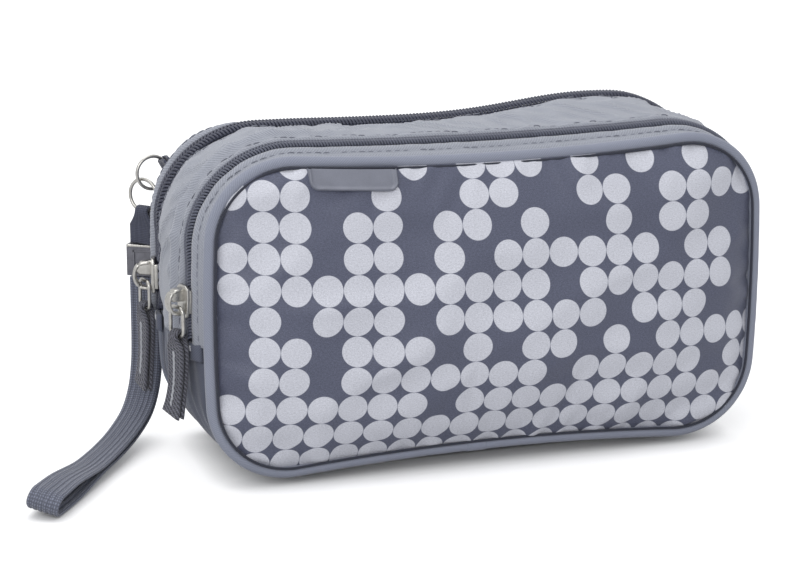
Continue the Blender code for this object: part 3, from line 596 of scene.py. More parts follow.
def fabric_coordinates(height):
    """Functions for the unrolled place on a bulged panel of a point (x, z)."""
    xs = np.linspace(-96.0, 96.0, 129) * MM
    zs = np.linspace(0.0, 108.0, 91) * MM
    out = np.array([[bulge(x, z, height) for x in xs] for z in zs])
    step_x, step_z = xs[1] - xs[0], zs[1] - zs[0]
    run_x = np.sqrt(1.0 + np.gradient(out, step_x, axis=1) ** 2) * step_x
    run_z = np.sqrt(1.0 + np.gradient(out, step_z, axis=0) ** 2) * step_z
    u = np.cumsum(run_x, axis=1)
    v = np.cumsum(run_z, axis=0)
    u -= u[:, 64:65]
    v -= v[45:46, :]

    def at(x, z):
        i = min(max((x - xs[0]) / step_x, 0.0), len(xs) - 1.001)
        j = min(max((z - zs[0]) / step_z, 0.0), len(zs) - 1.001)
        i0, j0 = int(i), int(j)
        fi, fj = i - i0, j - j0
        both = []
        for grid in (u, v):
            low = grid[j0, i0] * (1.0 - fi) + grid[j0, i0 + 1] * fi
            high = grid[j0 + 1, i0] * (1.0 - fi) + grid[j0 + 1, i0 + 1] * fi
            both.append(low * (1.0 - fj) + high * fj)
        return both
    return at


def patch(where, upper, inset):
    """Rows of points that fill the outline above or below the fold, from the fold outward."""
    side_steps, corner_steps, flat_steps = PANEL_STEPS if upper else PANEL_STEPS_LOW
    tall = side_steps + corner_steps // 2
    across = flat_steps + corner_steps
    y = SIDE_OF[where] * SEAM_Y
    edge = [point + lean * -inset for point, lean in
            section(y, upper, FOLD_Z, (side_steps, corner_steps, flat_steps))]
    left, far = edge[:tall + 1], edge[tall:tall + across + 1]
    right = list(reversed(edge[tall + across:]))
    rows = []
    for j in range(tall + 1):
        v = j / tall
        row = []
        for i in range(across + 1):
            u = i / across
            low = left[0].lerp(right[0], u)
            ruled = low.lerp(far[i], v) + left[j].lerp(right[j], u)
            corners = low.lerp(left[-1].lerp(right[-1], u), v)
            row.append(ruled - corners)
        rows.append(row)
    return rows


PANEL_STEPS = (20, 24, 84)
PANEL_STEPS_LOW = (12, 24, 84)
TUCK = 1.7 * MM                 # a panel's edge goes this far under its piping


def panel_rows(where, inset=-TUCK):
    """The whole panel's grid, bottom row first."""
    lower = patch(where, False, inset)
    upper = patch(where, True, inset)
    rows = list(reversed(lower)) + upper[1:]
    side, height = SIDE_OF[where], BULGE[where]
    for row in rows:
        for point in row:
            point.y = side * (SEAM_Y + bulge(point.x, point.z, height) + max(0.0, -inset - TUCK))
    return rows


def edge_room(rows, i, j):
    """Distance from a grid point to the panel's edge."""
    point = rows[i][j]
    ends = (rows[0][j], rows[-1][j], rows[i][0], rows[i][-1])
    return min((point - end).length for end in ends)


def crease(rows, where):
    """Push a panel's points in and out: puckers along the seam and long soft creases."""
    side = SIDE_OF[where]
    moved = []
    for i, row in enumerate(rows):
        for j, point in enumerate(row):
            room = edge_room(rows, i, j)
            across = Vector((point.x, point.z, 0.0))
            seam = math.exp(-room / (6.0 * MM)) * min(1.0, room / (1.5 * MM))
            pucker = 2.6 * MM * seam * wave(across, 6.0 * MM, 3.1)
            low = Vector((0.5 * point.x + 0.35 * point.z, 1.1 * point.z - 0.25 * point.x, 0.0))
            soft = 2.4 * MM * wave(low, 14.0 * MM, 7.7) * min(1.0, room / (10.0 * MM))
            ridge = 1.0 - abs(wave(low, 26.0 * MM, 12.3)) * 3.0
            soft += 1.9 * MM * max(0.0, ridge) * min(1.0, room / (8.0 * MM))
            puff = 0.5 * MM * smooth(room / (2.6 * MM))
            moved.append(point + Vector((0.0, side * (pucker + soft + puff), 0.0)))
    width = len(rows[0])
    return [moved[k * width:(k + 1) * width] for k in range(len(rows))]


def settle(piece, held, pressure, spare, cap, frames=18):
    """Cloth simulation of a padded cover on its filling, held at its seam.

    It runs ten times larger, where the solver is at ease. The result keeps the folds and
    drops the swelling past the cap.
    """
    scale = 10.0
    trial = bpy.data.objects.new(piece.name + "_trial", piece.data.copy())
    bpy.context.scene.collection.objects.link(trial)
    trial.data.transform(Matrix.Scale(scale, 4))
    group = trial.vertex_groups.new(name="held")
    group.add(held, 1.0, "REPLACE")
    cloth = trial.modifiers.new("cloth", "CLOTH")
    setup = cloth.settings
    setup.quality = 5
    setup.mass = 0.25
    setup.tension_stiffness = 18.0
    setup.compression_stiffness = 18.0
    setup.shear_stiffness = 6.0
    setup.bending_stiffness = 0.6
    setup.vertex_group_mass = "held"
    setup.shrink_min = -spare
    setup.shrink_max = -spare
    setup.use_pressure = True
    setup.uniform_pressure_force = pressure
    setup.effector_weights.gravity = 0.0
    cloth.collision_settings.use_collision = False
    cloth.point_cache.frame_start = 1
    cloth.point_cache.frame_end = frames
    scene = bpy.context.scene
    for step in range(1, frames + 1):
        scene.frame_set(step)
    graph = bpy.context.evaluated_depsgraph_get()
    shape = trial.evaluated_get(graph).to_mesh()
    found = np.zeros(len(shape.vertices) * 3)
    shape.vertices.foreach_get("co", found)
    trial.evaluated_get(graph).to_mesh_clear()
    bpy.data.objects.remove(trial, do_unlink=True)
    scene.frame_set(1)
    start = np.zeros(len(piece.data.vertices) * 3)
    piece.data.vertices.foreach_get("co", start)
    start = start.reshape(-1, 3)
    move = found.reshape(-1, 3) / scale - start
    reach = np.linalg.norm(move, axis=1, keepdims=True)
    move *= np.minimum(1.0, cap / np.maximum(reach, 1e-9))
    piece.data.vertices.foreach_set("co", (start + move).ravel())
    piece.data.update()
    print("settled", piece.name, "mean", reach.mean() / MM, "most", reach.max() / MM)


def padded_panel(where):
    """A padded cover panel from seam to seam, over its fold."""
    rows = crease(panel_rows(where), where)
    name = where + "_panel_cover"
    piece = lattice(name, rows, flip=where == "rear")
    count, width = len(rows), len(rows[0])
    held = [i * width + j for i in range(count) for j in range(width)
            if i in (0, count - 1) or j in (0, width - 1)]
    settle(piece, held, 1.2, 0.012, 1.3 * MM)
    locate = fabric_coordinates(BULGE[where])
    flat = [locate(point.x, point.z) for row in rows for point in row]
    layer = piece.data.uv_layers["flat"]
    corners = np.zeros(len(piece.data.loops), np.int32)
    piece.data.loops.foreach_get("vertex_index", corners)
    layer.data.foreach_set("uv", np.array(flat, np.float32)[corners].ravel())
    thicken(piece, PANEL_THICK)
    subdivide(piece)
    slot = "printed_satin" if where == "front" else "dark_satin"
    finish_piece(piece, slot, blend=where + "_cover",
                 replaces=(where + "_panel_upper", where + "_panel_lower"))
    return piece


def lining(where):
    """The cover's inner face, quilted to its padding."""
    rows = panel_rows(where, 2.4 * MM)
    side = SIDE_OF[where]
    for i, row in enumerate(rows):
        for j, point in enumerate(row):
            room = edge_room(rows, i, j)
            slack = 0.4 * MM * wave((point.x, point.z, 0.0), 11.0 * MM, 5.5)
            back = PANEL_THICK + 1.0 * MM + slack * min(1.0, room / (8.0 * MM))
            point.y -= side * back
    piece = lattice(where + "_cover_lining", rows, flip=where == "rear")
    thicken(piece, 0.4 * MM)
    finish_piece(piece, "lining", blend=where + "_cover",
                 replaces=(where + "_lining",))


# ---------------------------------------------------------------- piping

def frames_along(path, closed=False):
    """(point, tangent) pairs along a path."""
    count = len(path)
    found = []
    for i, point in enumerate(path):
        ahead = path[(i + 1) % count] if closed else path[min(i + 1, count - 1)]
        behind = path[i - 1] if closed else path[max(i - 1, 0)]
        found.append((point, (ahead - behind).normalized()))
    return found


def even(path, step, closed=False):
    """Points at even steps along a path."""
    lengths = run_lengths(path, closed)
    ends = path + ([path[0]] if closed else [])
    count = max(2, round(lengths[-1] / step))
    found, k = [], 0
    for n in range(count if closed else count + 1):
        target = lengths[-1] * n / count
        while k < len(lengths) - 2 and lengths[k + 1] < target:
            k += 1
        span = lengths[k + 1] - lengths[k]
        found.append(ends[k].lerp(ends[k + 1], (target - lengths[k]) / span if span else 0.0))
    return found


def round_tube(name, path, radius, sides=12, closed=False, first=None):
    """A tube along a path; first is a direction that its seam keeps near."""
    rows = []
    for point, tangent in frames_along(path, closed):
        guide = first if first else (UP if abs(tangent.z) < 0.9 else Vector((1.0, 0.0, 0.0)))
        a = (guide - tangent * guide.dot(tangent)).normalized()
        b = tangent.cross(a)
        size = radius(point) if callable(radius) else radius
        rows.append([point + size * (math.cos(angle) * a + math.sin(angle) * b)
                     for angle in (2.0 * math.pi * k / sides for k in range(sides))])
    return lattice(name, rows, wrap=True, loop=closed, caps=not closed)


def piping_path(where):
    """The piping's centre line, round the whole panel."""
    side = SIDE_OF[where]
    path = loop_at(side * SEAM_Y, PIPING_RADIUS + GAP)
    for point in path:
        point.z = max(point.z, PIPING_RADIUS + GAP)
        point.y = side * (SEAM_Y + PIPING_OUT)
    return even(path, 1.3 * MM, True)


def piping(where):
    """Corded piping: fabric pulled round a cord, with the slight bumps of its sewing."""
    path = piping_path(where)

    def size(point):
        return PIPING_RADIUS * (1.0 + 0.035 * wave(point, 5.0 * MM, 2.2))
    piece = round_tube(where + "_piping_cord", path, size, 14, True, Vector((0.0, 1.0, 0.0)))
    finish_piece(piece, "piping", blend=where + "_cover",
                 replaces=(where + "_piping_upper", where + "_piping_lower"))
    side, along_y = SIDE_OF[where], Vector((0.0, 1.0, 0.0))
    # A thin near-black tube just inside the piping: painted shadow where the panel meets the
    # piping.
    seam = []
    for point, tangent in frames_along(path, True):
        inward = tangent.cross(along_y).normalized()
        if inward.dot(Vector((point.x, 0.0, point.z - 0.5 * SEAM_TOP_Z))) > 0.0:
            inward = -inward
        seam.append(point + inward * 1.6 * MM + along_y * side * 1.95 * MM)
    line = round_tube(where + "_piping_seam", seam, 0.45 * MM, 8, True, along_y)
    finish_piece(line, "seam", blend=where + "_cover")
    centre = min(path, key=lambda point: abs(point.x + 4.4 * MM) + 10.0 * point.z)
    sleeve = [point for point in path
              if abs(point.x - centre.x) < 4.5 * MM and point.z < 0.5 * FOLD_Z]
    sleeve.sort(key=lambda point: point.x)
    cover = round_tube(where + "_piping_joint", sleeve, PIPING_RADIUS + 0.28 * MM, 14,
                       first=Vector((0.0, 1.0, 0.0)))
    subdivide(cover)
    finish_piece(cover, "piping", "pouch")


# ---------------------------------------------------------------- strips round the pouch

def strip(name, y_from, y_to, depth, upper=True, steps=14, start_z=FOLD_Z, thick=0.9 * MM):
    """A band of cloth round the pouch; depth(y, point, run) lifts it off the surface."""
    columns = []
    for k in range(steps + 1):
        y = y_from + (y_to - y_from) * k / steps
        pairs = section(y, upper, start_z, FINER)
        runs = run_lengths([point for point, _ in pairs])
        columns.append([point + lean * depth(y, point, run)
                        for (point, lean), run in zip(pairs, runs)])
    rows = [[column[i] for column in columns] for i in range(len(columns[0]))]
    piece = lattice(name, rows, flip=not upper)
    return thicken(piece, thick, -1.0 if upper else 1.0)


def hem(y, edge, inward):
    """A folded edge beside a zipper: a low roll, and a valley along its stitches."""
    room = (y - edge) * inward
    roll = 0.55 * MM * math.exp(-((room - 0.9 * MM) / (0.9 * MM)) ** 2)
    valley = -0.35 * MM * math.exp(-((room - 2.5 * MM) / (0.7 * MM)) ** 2)
    tuck = -1.3 * MM * max(0.0, 1.0 - room / (0.5 * MM)) ** 2
    return roll + valley + tuck


def puckers(y, edge, point, run, reach=5.0 * MM, size=5.0 * MM, seed=1.0):
    """Gathers that run away from a sewn edge."""
    room = abs(y - edge)
    ripple = noise.noise(Vector((run / size, 0.25 * y / size, seed)))
    return 0.5 * MM * ripple * math.exp(-room / reach) * min(1.0, room / (2.2 * MM))


def seam_dip(y, side):
    """The cloth dives where it meets the piping."""
    room = SEAM_Y - side * y
    return -0.5 * MM * math.exp(-(room / (1.5 * MM)) ** 2)


def coil_edges(where):
    """y of the two cloth edges beside a zipper: front one first."""
    reach = 0.5 * COIL_GAP + COIL_WIDTH[where] + GAP
    return ZIP_Y[where] - reach, ZIP_Y[where] + reach


def outer_strip(where):
    """The strip between a zipper and its piping."""
    side = SIDE_OF[where]
    edge = coil_edges(where)[0 if side < 0 else 1]
    inward = 1.0 if side > 0 else -1.0

    def depth(y, point, run):
        gathers = 1.8 * puckers(y, side * SEAM_Y, point, run, 4.0 * MM, 5.0 * MM, 4.0)
        full = 0.0
        if side > 0:
            share = (y - edge) / (SEAM_Y - edge)
            corner = smooth((-point.x - 45.0 * MM) / (40.0 * MM))
            full = 3.3 * MM * corner * math.sin(math.pi * max(0.0, min(1.0, share))) ** 0.6
        return hem(y, edge, inward) + seam_dip(y, side) + gathers + full
    piece = strip(where + "_side_strip", edge, side * (SEAM_Y + 0.3 * MM), depth)
    if side < 0:
        piece.data.flip_normals()
    finish_piece(piece, "light_twill", blend=where + "_cover",
                 replaces=(where + "_gusset",))
    stitches(where + "_strip_stitches", edge + inward * 2.5 * MM, depth, where + "_cover")
    stitches(where + "_seam_stitches", side * (SEAM_Y - 2.4 * MM), depth, where + "_cover")


def middle_strip():
    """The wide strip between the two zippers."""
    front, rear = coil_edges("front")[1], coil_edges("rear")[0]

    def depth(y, point, run):
        share = (y - front) / (rear - front)
        fold = wave((run + 0.7 * y, 0.45 * y, 0.0), 9.0 * MM, 9.0)
        slack = math.sin(math.pi * share) * (0.3 * MM + 1.2 * MM * wave(
            (run - 0.5 * y, 0.8 * y, 0.0), 15.0 * MM, 9.0)
            + 2.2 * MM * max(0.0, 0.5 - 3.0 * abs(fold)))
        gathers = 4.5 * puckers(y, rear, point, run, 11.0 * MM, 9.0 * MM, 2.0)
        gathers += 2.6 * puckers(y, front, point, run, 6.0 * MM, 5.0 * MM, 6.0)
        left = min(1.0, max(0.0, (-point.x - 35.0 * MM) / (30.0 * MM)))
        tuck_y = front + 6.5 * MM + 1.2 * MM * wave((run, 0.0, 0.0), 30.0 * MM, 4.0)
        tuck = 1.7 * MM * left * math.exp(-((y - tuck_y) / (1.6 * MM)) ** 2)
        tuck -= 1.2 * MM * left * math.exp(-((y - tuck_y - 3.2 * MM) / (1.1 * MM)) ** 2)
        low = 1.0 - 0.6 * smooth((point.x + 10.0 * MM) / (60.0 * MM))
        dip = -2.0 * MM * low * math.exp(-(rear - y) / (6.0 * MM))
        return hem(y, front, 1.0) + hem(y, rear, -1.0) + slack + gathers + tuck + dip
    piece = strip("middle_strip", front, rear, depth, steps=44)
    finish_piece(piece, "light_twill", "pouch", replaces=("middle_gusset",))
    for k, y in enumerate((front + 2.5 * MM, rear - 3.4 * MM)):
        stitches(f"middle_strip_stitches_{k + 1}", y, depth)


def base_shell():
    """The dark lower band: it holds the pouch's foot and stands on its flat base."""
    def depth(y, point, run):
        side_room = min(1.0, max(0.0, (point.z - 6.0 * MM) / (12.0 * MM)))
        fold = noise.noise(Vector((1.4 * y / (8.0 * MM), point.z / (40.0 * MM),
                                   3.0 + math.copysign(5.0, point.x))))
        shape = -1.8 * MM * abs(fold) * side_room
        return shape + seam_dip(y, -1) + seam_dip(y, 1)
    reach = SEAM_Y + 0.3 * MM
    piece = strip("base_shell", -reach, reach, depth, upper=False, steps=56,
                  start_z=FOLD_Z + 1.2 * MM)
    finish_piece(piece, "base_twill", "pouch", replaces=("base_gusset",))


def stitches(name, y, depth, cover=None, pitch=2.9 * MM):
    """A row of short thread dashes along a strip's cloth, at the section of depth y."""
    pairs = section(y, True, FOLD_Z + 3.0 * MM, FINER)
    runs = run_lengths([point for point, _ in pairs])
    path = even([point + lean * depth(y, point, run)
                 for (point, lean), run in zip(pairs, runs)], pitch)
    middle = Vector((0.0, y, 0.5 * (SEAM_TOP_Z + SEAM_BOTTOM_Z)))
    dashes = []
    for point, tangent in frames_along(path):
        out = tangent.cross(Vector((0.0, 1.0, 0.0))).normalized()
        if out.dot(point - middle) < 0.0:
            out = -out
        half, radius = 0.38 * pitch, 0.2 * MM
        low = 1.08 * MM
        line = [point - tangent * half + out * (low - 0.15 * MM),
                point - tangent * 0.5 * half + out * (low + 0.1 * MM),
                point + tangent * 0.5 * half + out * (low + 0.1 * MM),
                point + tangent * half + out * (low - 0.15 * MM)]
        dashes.append(round_tube("dash", line, radius, 6, first=Vector((0.0, 1.0, 0.0))))
    piece = joined(name, dashes)
    if cover:
        finish_piece(piece, "thread", blend=cover)
    else:
        finish_piece(piece, "thread", "pouch")


# ---------------------------------------------------------------- zippers

def coil_rise(where, point):
    """How far a coil stands out of the cloth: less on the run its slider covers."""
    if point.x > 0.0:
        return COIL_RISE[where]
    if where == "rear":
        around = smooth((-point.x - 45.0 * MM) / (40.0 * MM))
        tall = COIL_RISE[where] - 0.9 * MM * around
    else:
        tall = COIL_RISE[where]
    near = math.exp(-((point.z - SLIDER_Z[where] - 2.0 * MM) / (15.0 * MM)) ** 4)
    return tall + (COIL_RISE_LOW - tall) * near


def coil(where, half_name):
    """One row of coil turns: slanted arches that meet the other row along the middle."""
    on_cover = half_name == "cover"
    side = COVER_SIDE[where] * (1.0 if on_cover else -1.0)
    pitch, width = TOOTH_PITCH[where], COIL_WIDTH[where]
    mid = ZIP_Y[where]
    path = [point for point, _ in section(mid, True, ZIP_START_Z, FINER)]
    path = even(path, pitch)
    middle = Vector((0.0, mid, 0.5 * SEAM_TOP_Z))
    across = Vector((0.0, side, 0.0))
    shift = 0.0 if on_cover else 0.5
    turns = []
    radius = 0.42 * pitch
    for k in range(len(path) - 1):
        point = path[k].lerp(path[k + 1], shift)
        tangent = (path[k + 1] - path[k]).normalized()
        out = tangent.cross(Vector((0.0, 1.0, 0.0))).normalized()
        if out.dot(point - middle) < 0.0:
            out = -out
        near, far = 0.05 * MM, 0.5 * COIL_GAP + width
        rise = coil_rise(where, point) - radius
        line = []
        for step in range(8):
            share = step / 7
            reach = near + (far - near) * share
            dome = math.sqrt(max(0.0, 1.0 - ((share - 0.46) / 0.6) ** 2))
            slant = 1.7 * pitch * (share - 0.5)
            line.append(point + across * reach + tangent * slant
                        + out * ((rise + 1.2 * MM) * dome - 1.2 * MM))
        turns.append(round_tube("turn", line, radius, 7, first=tangent))
    core = []
    for point, lean in section(mid + side * 0.5 * (COIL_GAP + width), True, ZIP_START_Z, FINER):
        core.append(point - lean * 0.55 * MM)
    turns.append(round_tube("core", core, 0.42 * width, 8, first=Vector((0.0, 1.0, 0.0))))
    piece = joined(f"{where}_coil_{half_name}", turns)
    piece.data.shade_smooth()
    slot = "coil_mid" if where == "front" else "coil_dark"
    node = f"{where}_zip_coil_{half_name}"
    if on_cover:
        finish_piece(piece, slot, blend=where + "_cover", replaces=(node,))
    else:
        finish_piece(piece, slot, "pouch", replaces=(node,))


def tape(where, half_name):
    """The woven tape that carries one row of the coil."""
    on_cover = half_name == "cover"
    side = COVER_SIDE[where] * (1.0 if on_cover else -1.0)
    near = ZIP_Y[where] + side * (0.5 * COIL_GAP + 0.3 * MM)
    far = ZIP_Y[where] + side * 6.0 * MM
    piece = strip(f"{where}_tape_{half_name}", near, far, lambda y, point, run: -TAPE_TOP,
                  steps=4, start_z=ZIP_START_Z, thick=0.5 * MM)
    if side < 0:
        piece.data.flip_normals()
    node = f"{where}_zip_tape_{half_name}"
    if on_cover:
        finish_piece(piece, "zip_tape", blend=where + "_cover", replaces=(node,))
    else:
        finish_piece(piece, "zip_tape", "pouch", replaces=(node,))


def zip_end(where, side_name):
    """The patch over a zipper's end, with its bar tack."""
    side = -1.0 if side_name == "left" else 1.0
    low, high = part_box(f"{where}_zip_end_{side_name}")
    rows = []
    for i in range(13):
        z = low.z + (high.z + 1.0 * MM - low.z) * i / 12
        row = []
        for j in range(25):
            y = low.y + (high.y - low.y) * j / 24
            x = warp(sizes(y)[0], z, y)[0]
            room = max(0.0, min(i, 12 - i, 0.5 * j, 0.5 * (24 - j)))
            out = GAP + 1.45 * MM * min(1.0, room / 1.5) ** 0.5
            row.append(Vector((side * (x + out), y, z)))
        rows.append(row)
    piece = lattice(f"{where}_zip_patch_{side_name}", rows, flip=side < 0)
    thicken(piece, 0.6 * MM)
    finish_piece(piece, "base_twill", "pouch",
                 replaces=(f"{where}_zip_end_{side_name}",))
    dashes = []
    count = 11
    for k in range(count):
        y = ZIP_Y[where] + (k - 0.5 * (count - 1)) * 0.62 * MM
        x = side * (warp(sizes(y)[0], high.z, y)[0] + 1.85 * MM)
        tilt = 0.25 * MM * (1 if k % 2 else -1)
        line = [Vector((x - side * 0.25 * MM, y, high.z - 1.5 * MM)),
                Vector((x, y + tilt, high.z - 1.1 * MM)),
                Vector((x, y - tilt, high.z - 0.3 * MM)),
                Vector((x - side * 0.25 * MM, y, high.z + 0.1 * MM))]
        dashes.append(round_tube("tack", line, 0.2 * MM, 6, first=Vector((0.0, 1.0, 0.0))))
    tack = joined(f"{where}_bar_tack_{side_name}", dashes)
    finish_piece(tack, "white_thread", "pouch")


# ---------------------------------------------------------------- badge

def badge():
    """A plain moulded badge with a raised border; it carries no lettering."""
    low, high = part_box("badge")
    centre_x = 0.5 * (low.x + high.x) + 1.0 * MM
    width, height, corner = high.x - low.x, 6.6 * MM, 3.2 * MM
    columns, rows_count = 96, 32
    rows = []
    for j in range(rows_count + 1):
        row = []
        for i in range(columns + 1):
            x = width * (i / columns - 0.5)
            short = max(0.0, corner - (0.5 * width - abs(x)))
            round_off = corner - math.sqrt(corner ** 2 - short ** 2)
            depth = (height - round_off) * j / rows_count
            side_room = 0.5 * width - abs(x)
            room = max(0.0, min(side_room, height - round_off - depth))
            from_corner = math.hypot(max(0.0, corner - side_room),
                                     max(0.0, corner - height + depth))
            if from_corner > 0.0:
                room = min(room, max(0.0, corner - from_corner))
            lift = 1.0 * MM * min(1.0, room / (0.4 * MM)) ** 0.5
            lift += 0.9 * MM * math.exp(-((room - 0.95 * MM) / (0.42 * MM)) ** 2)
            seam_z = warp(centre_x + x, SEAM_TOP_Z, SEAM_Y)[1]
            z = seam_z + 0.7 * MM - depth
            out = bulge(centre_x + x, z, BULGE["front"])
            row.append(Vector((centre_x + x, -SEAM_Y - out - 1.5 * MM - lift, z)))
        rows.append(row)
    piece = lattice("badge_plate", rows, flip=True)
    thicken(piece, 0.5 * MM)
    finish_piece(piece, "rubber", "front_cover", replaces=("badge",))


# ---------------------------------------------------------------- sliders and pulls

SLIDER_Z = {"front": 60.0 * MM, "rear": 58.8 * MM}
SLIDER_SCALE = {"front": 1.0, "rear": 1.12}


def slider_place(where):
    """A slider's placement: local X leaves the pouch, local Z is up."""
    y, z = ZIP_Y[where], SLIDER_Z[where]
    here, beside = (warp(sizes(at)[0], z, at)[0] for at in (y, y + 1.0 * MM))
    along = Vector((here - beside, 1.0 * MM, 0.0)).normalized()
    out = along.cross(UP)
    if out.x > 0:
        out = -out
    rows = Matrix((out, UP.cross(out), UP)).transposed().to_4x4()
    rows.translation = Vector((-here, y, z))
    return rows


def outline_plate(name, outline, x_low, x_high, bevel):
    """A flat plate from a (y, z) outline, with rounded edges."""
    work = bmesh.new()
    ring = [work.verts.new((x_low, y, z)) for y, z in outline]
    face = work.faces.new(ring)
    grown = bmesh.ops.extrude_face_region(work, geom=[face])
    for item in grown["geom"]:
        if isinstance(item, bmesh.types.BMVert):
            item.co.x = x_high
    bmesh.ops.recalc_face_normals(work, faces=work.faces)
    mesh = bpy.data.meshes.new(name)
    work.to_mesh(mesh)
    work.free()
    made = bpy.data.objects.new(name, mesh)
    bpy.context.scene.collection.objects.link(made)
    edge = made.modifiers.new("edge", "BEVEL")
    edge.width = bevel
    edge.segments = 3
    edge.limit_method = "ANGLE"
    edge.angle_limit = math.radians(50.0)
    return made


def applied(piece):
    """The piece with its modifiers applied."""
    graph = bpy.context.evaluated_depsgraph_get()
    mesh = bpy.data.meshes.new_from_object(piece.evaluated_get(graph))
    piece.modifiers.clear()
    piece.data = mesh
    return piece


def slider(where):
    """A zipper slider: shield-shaped plates, side flanges and the bridge for the pull."""
    k = SLIDER_SCALE[where] * MM
    shield = [(-2.1, 5.2), (2.1, 5.2), (3.5, 4.2), (3.7, 1.5), (3.2, -2.6), (2.6, -4.9),
              (1.6, -5.3), (-1.6, -5.3), (-2.6, -4.9), (-3.2, -2.6), (-3.7, 1.5), (-3.5, 4.2)]
    shield = [(y * k, z * k) for y, z in shield]
    under, top = 1.4 * MM, 1.4 * MM + 1.2 * k
    parts = [applied(outline_plate("top", shield, under, top, 0.3 * k))]
    small = [(0.9 * y, 0.9 * z) for y, z in shield]
    parts.append(applied(outline_plate("under", small, -3.7 * MM, -2.9 * MM, 0.25 * k)))
    for side in (-1.0, 1.0):
        flange = [(side * 2.95 * k, 3.9 * k), (side * 3.75 * k, 3.7 * k),
                  (side * 3.85 * k, 1.4 * k), (side * 3.2 * k, -3.6 * k),
                  (side * 2.5 * k, -3.8 * k)]
        parts.append(applied(outline_plate("flange", flange, 0.4 * MM, 1.6 * MM, 0.15 * k)))
    arch = []
    for step in range(25):
        angle = math.pi * step / 24
        rise = math.sin(angle) ** 0.55
        arch.append(Vector((top - 0.3 * MM + 5.2 * k * rise, 0.0,
                            -3.85 * k * math.cos(angle))))
    rows = []
    for point, tangent in frames_along(arch):
        out = tangent.cross(Vector((0.0, 1.0, 0.0))).normalized()
        if out.x < 0.0 and abs(tangent.z) > 0.5:
            out = -out
        ring = []
        for y, x in ((-1.7, -0.3), (-1.4, -0.6), (1.4, -0.6), (1.7, -0.3), (1.7, 0.3),
                     (1.4, 0.6), (-1.4, 0.6), (-1.7, 0.3)):
            ring.append(point + Vector((0.0, y * k, 0.0)) + out * (x * k))
        rows.append(ring)
    bridge = lattice("bridge", rows, wrap=True, caps=True)
    subdivide(bridge)
    parts.append(applied(bridge))
    web = [(top - 0.4 * MM, 0.1 * k), (top + 3.5 * k, 0.3 * k), (top + 4.6 * k, 1.4 * k),
           (top + 4.3 * k, 2.9 * k), (top + 2.6 * k, 4.1 * k), (top - 0.4 * MM, 4.6 * k)]
    cap = outline_plate("web", [(x, z) for x, z in web], -1.3 * k, 1.3 * k, 0.45 * k)
    cap = applied(cap)
    cap.data.transform(Matrix(((0.0, 1.0, 0.0, 0.0), (-1.0, 0.0, 0.0, 0.0),
                               (0.0, 0.0, 1.0, 0.0), (0.0, 0.0, 0.0, 1.0))))
    parts.append(cap)
    piece = joined(where + "_slider_body", parts)
    piece.data.transform(slider_place(where))
    bmesh_outward(piece)
    piece.data.shade_smooth()
    piece.data.set_sharp_from_angle(angle=math.radians(45.0))
    finish_piece(piece, "nickel", where + "_slider", replaces=(where + "_slider",))


def bmesh_outward(piece):
    """Turn every closed part's faces outward."""
    work = bmesh.new()
    work.from_mesh(piece.data)
    bmesh.ops.recalc_face_normals(work, faces=work.faces)
    work.to_mesh(piece.data)
    work.free()


def rounded_link(where):
    """The wire loop between the slider and the pull tab."""
    top = Vector(JOINTS[where + "_pull_link_swing"]["pos_m"])
    low = Vector(JOINTS[where + "_pull_tab_swing"]["pos_m"])
    bar_way = -Vector(JOINTS[where + "_pull_link_swing"]["axis"])
    width, drop, corner = SLIDER_SCALE[where] * 6.4 * MM, (top - low).length, 2.2 * MM
    path = []
    for across, down, start in ((1, 0, -90), (1, 1, 0), (-1, 1, 90), (-1, 0, 180)):
        for step in range(11):
            angle = math.radians(start + 9.0 * step)
            side = across * (0.5 * width - corner) + corner * math.cos(angle)
            below = (drop - corner if down else corner) + corner * math.sin(angle)
            path.append(top + bar_way * side + DOWN * below)
    piece = round_tube(where + "_link_wire", even(path, 0.5 * MM, True), 0.62 * MM, 14, True,
                       bar_way.cross(UP))
    finish_piece(piece, "nickel", where + "_pull_link",
                 replaces=(where + "_pull_link",))


# ---------------------------------------------------------------- webbing

def ribbon(name, path, across, width, thick, ribs, loop=False, rib_height=0.1 * MM):
    """Woven webbing along a path, with lengthwise ribs and rounded edges.

    across gives the width direction at each point; width may be one number or a list.
    """
    count = len(path)
    per_rib = 5
    samples = ribs * per_rib
    rows = []
    for k, (point, tangent) in enumerate(frames_along(path, loop)):
        side = across[k] if isinstance(across, list) else across
        side = (side - tangent * side.dot(tangent)).normalized()
        face = side.cross(tangent)
        half = 0.5 * (width[k] if isinstance(width, list) else width)
        ring = []
        for sign in (1.0, -1.0):
            for step in range(samples + 1):
                share = (2.0 * step / samples - 1.0) * sign
                rib = abs(math.sin(math.pi * ribs * (0.5 + 0.5 * share))) ** 0.6
                edge = math.sqrt(max(0.0, 1.0 - abs(share) ** 10))
                lift = (0.5 * thick - rib_height * (1.0 - rib)) * (0.35 + 0.65 * edge)
                ring.append(point + side * share * half + face * sign * lift)
        rows.append(ring)
    return lattice(name, rows, wrap=True, loop=loop, caps=not loop, flip=True)


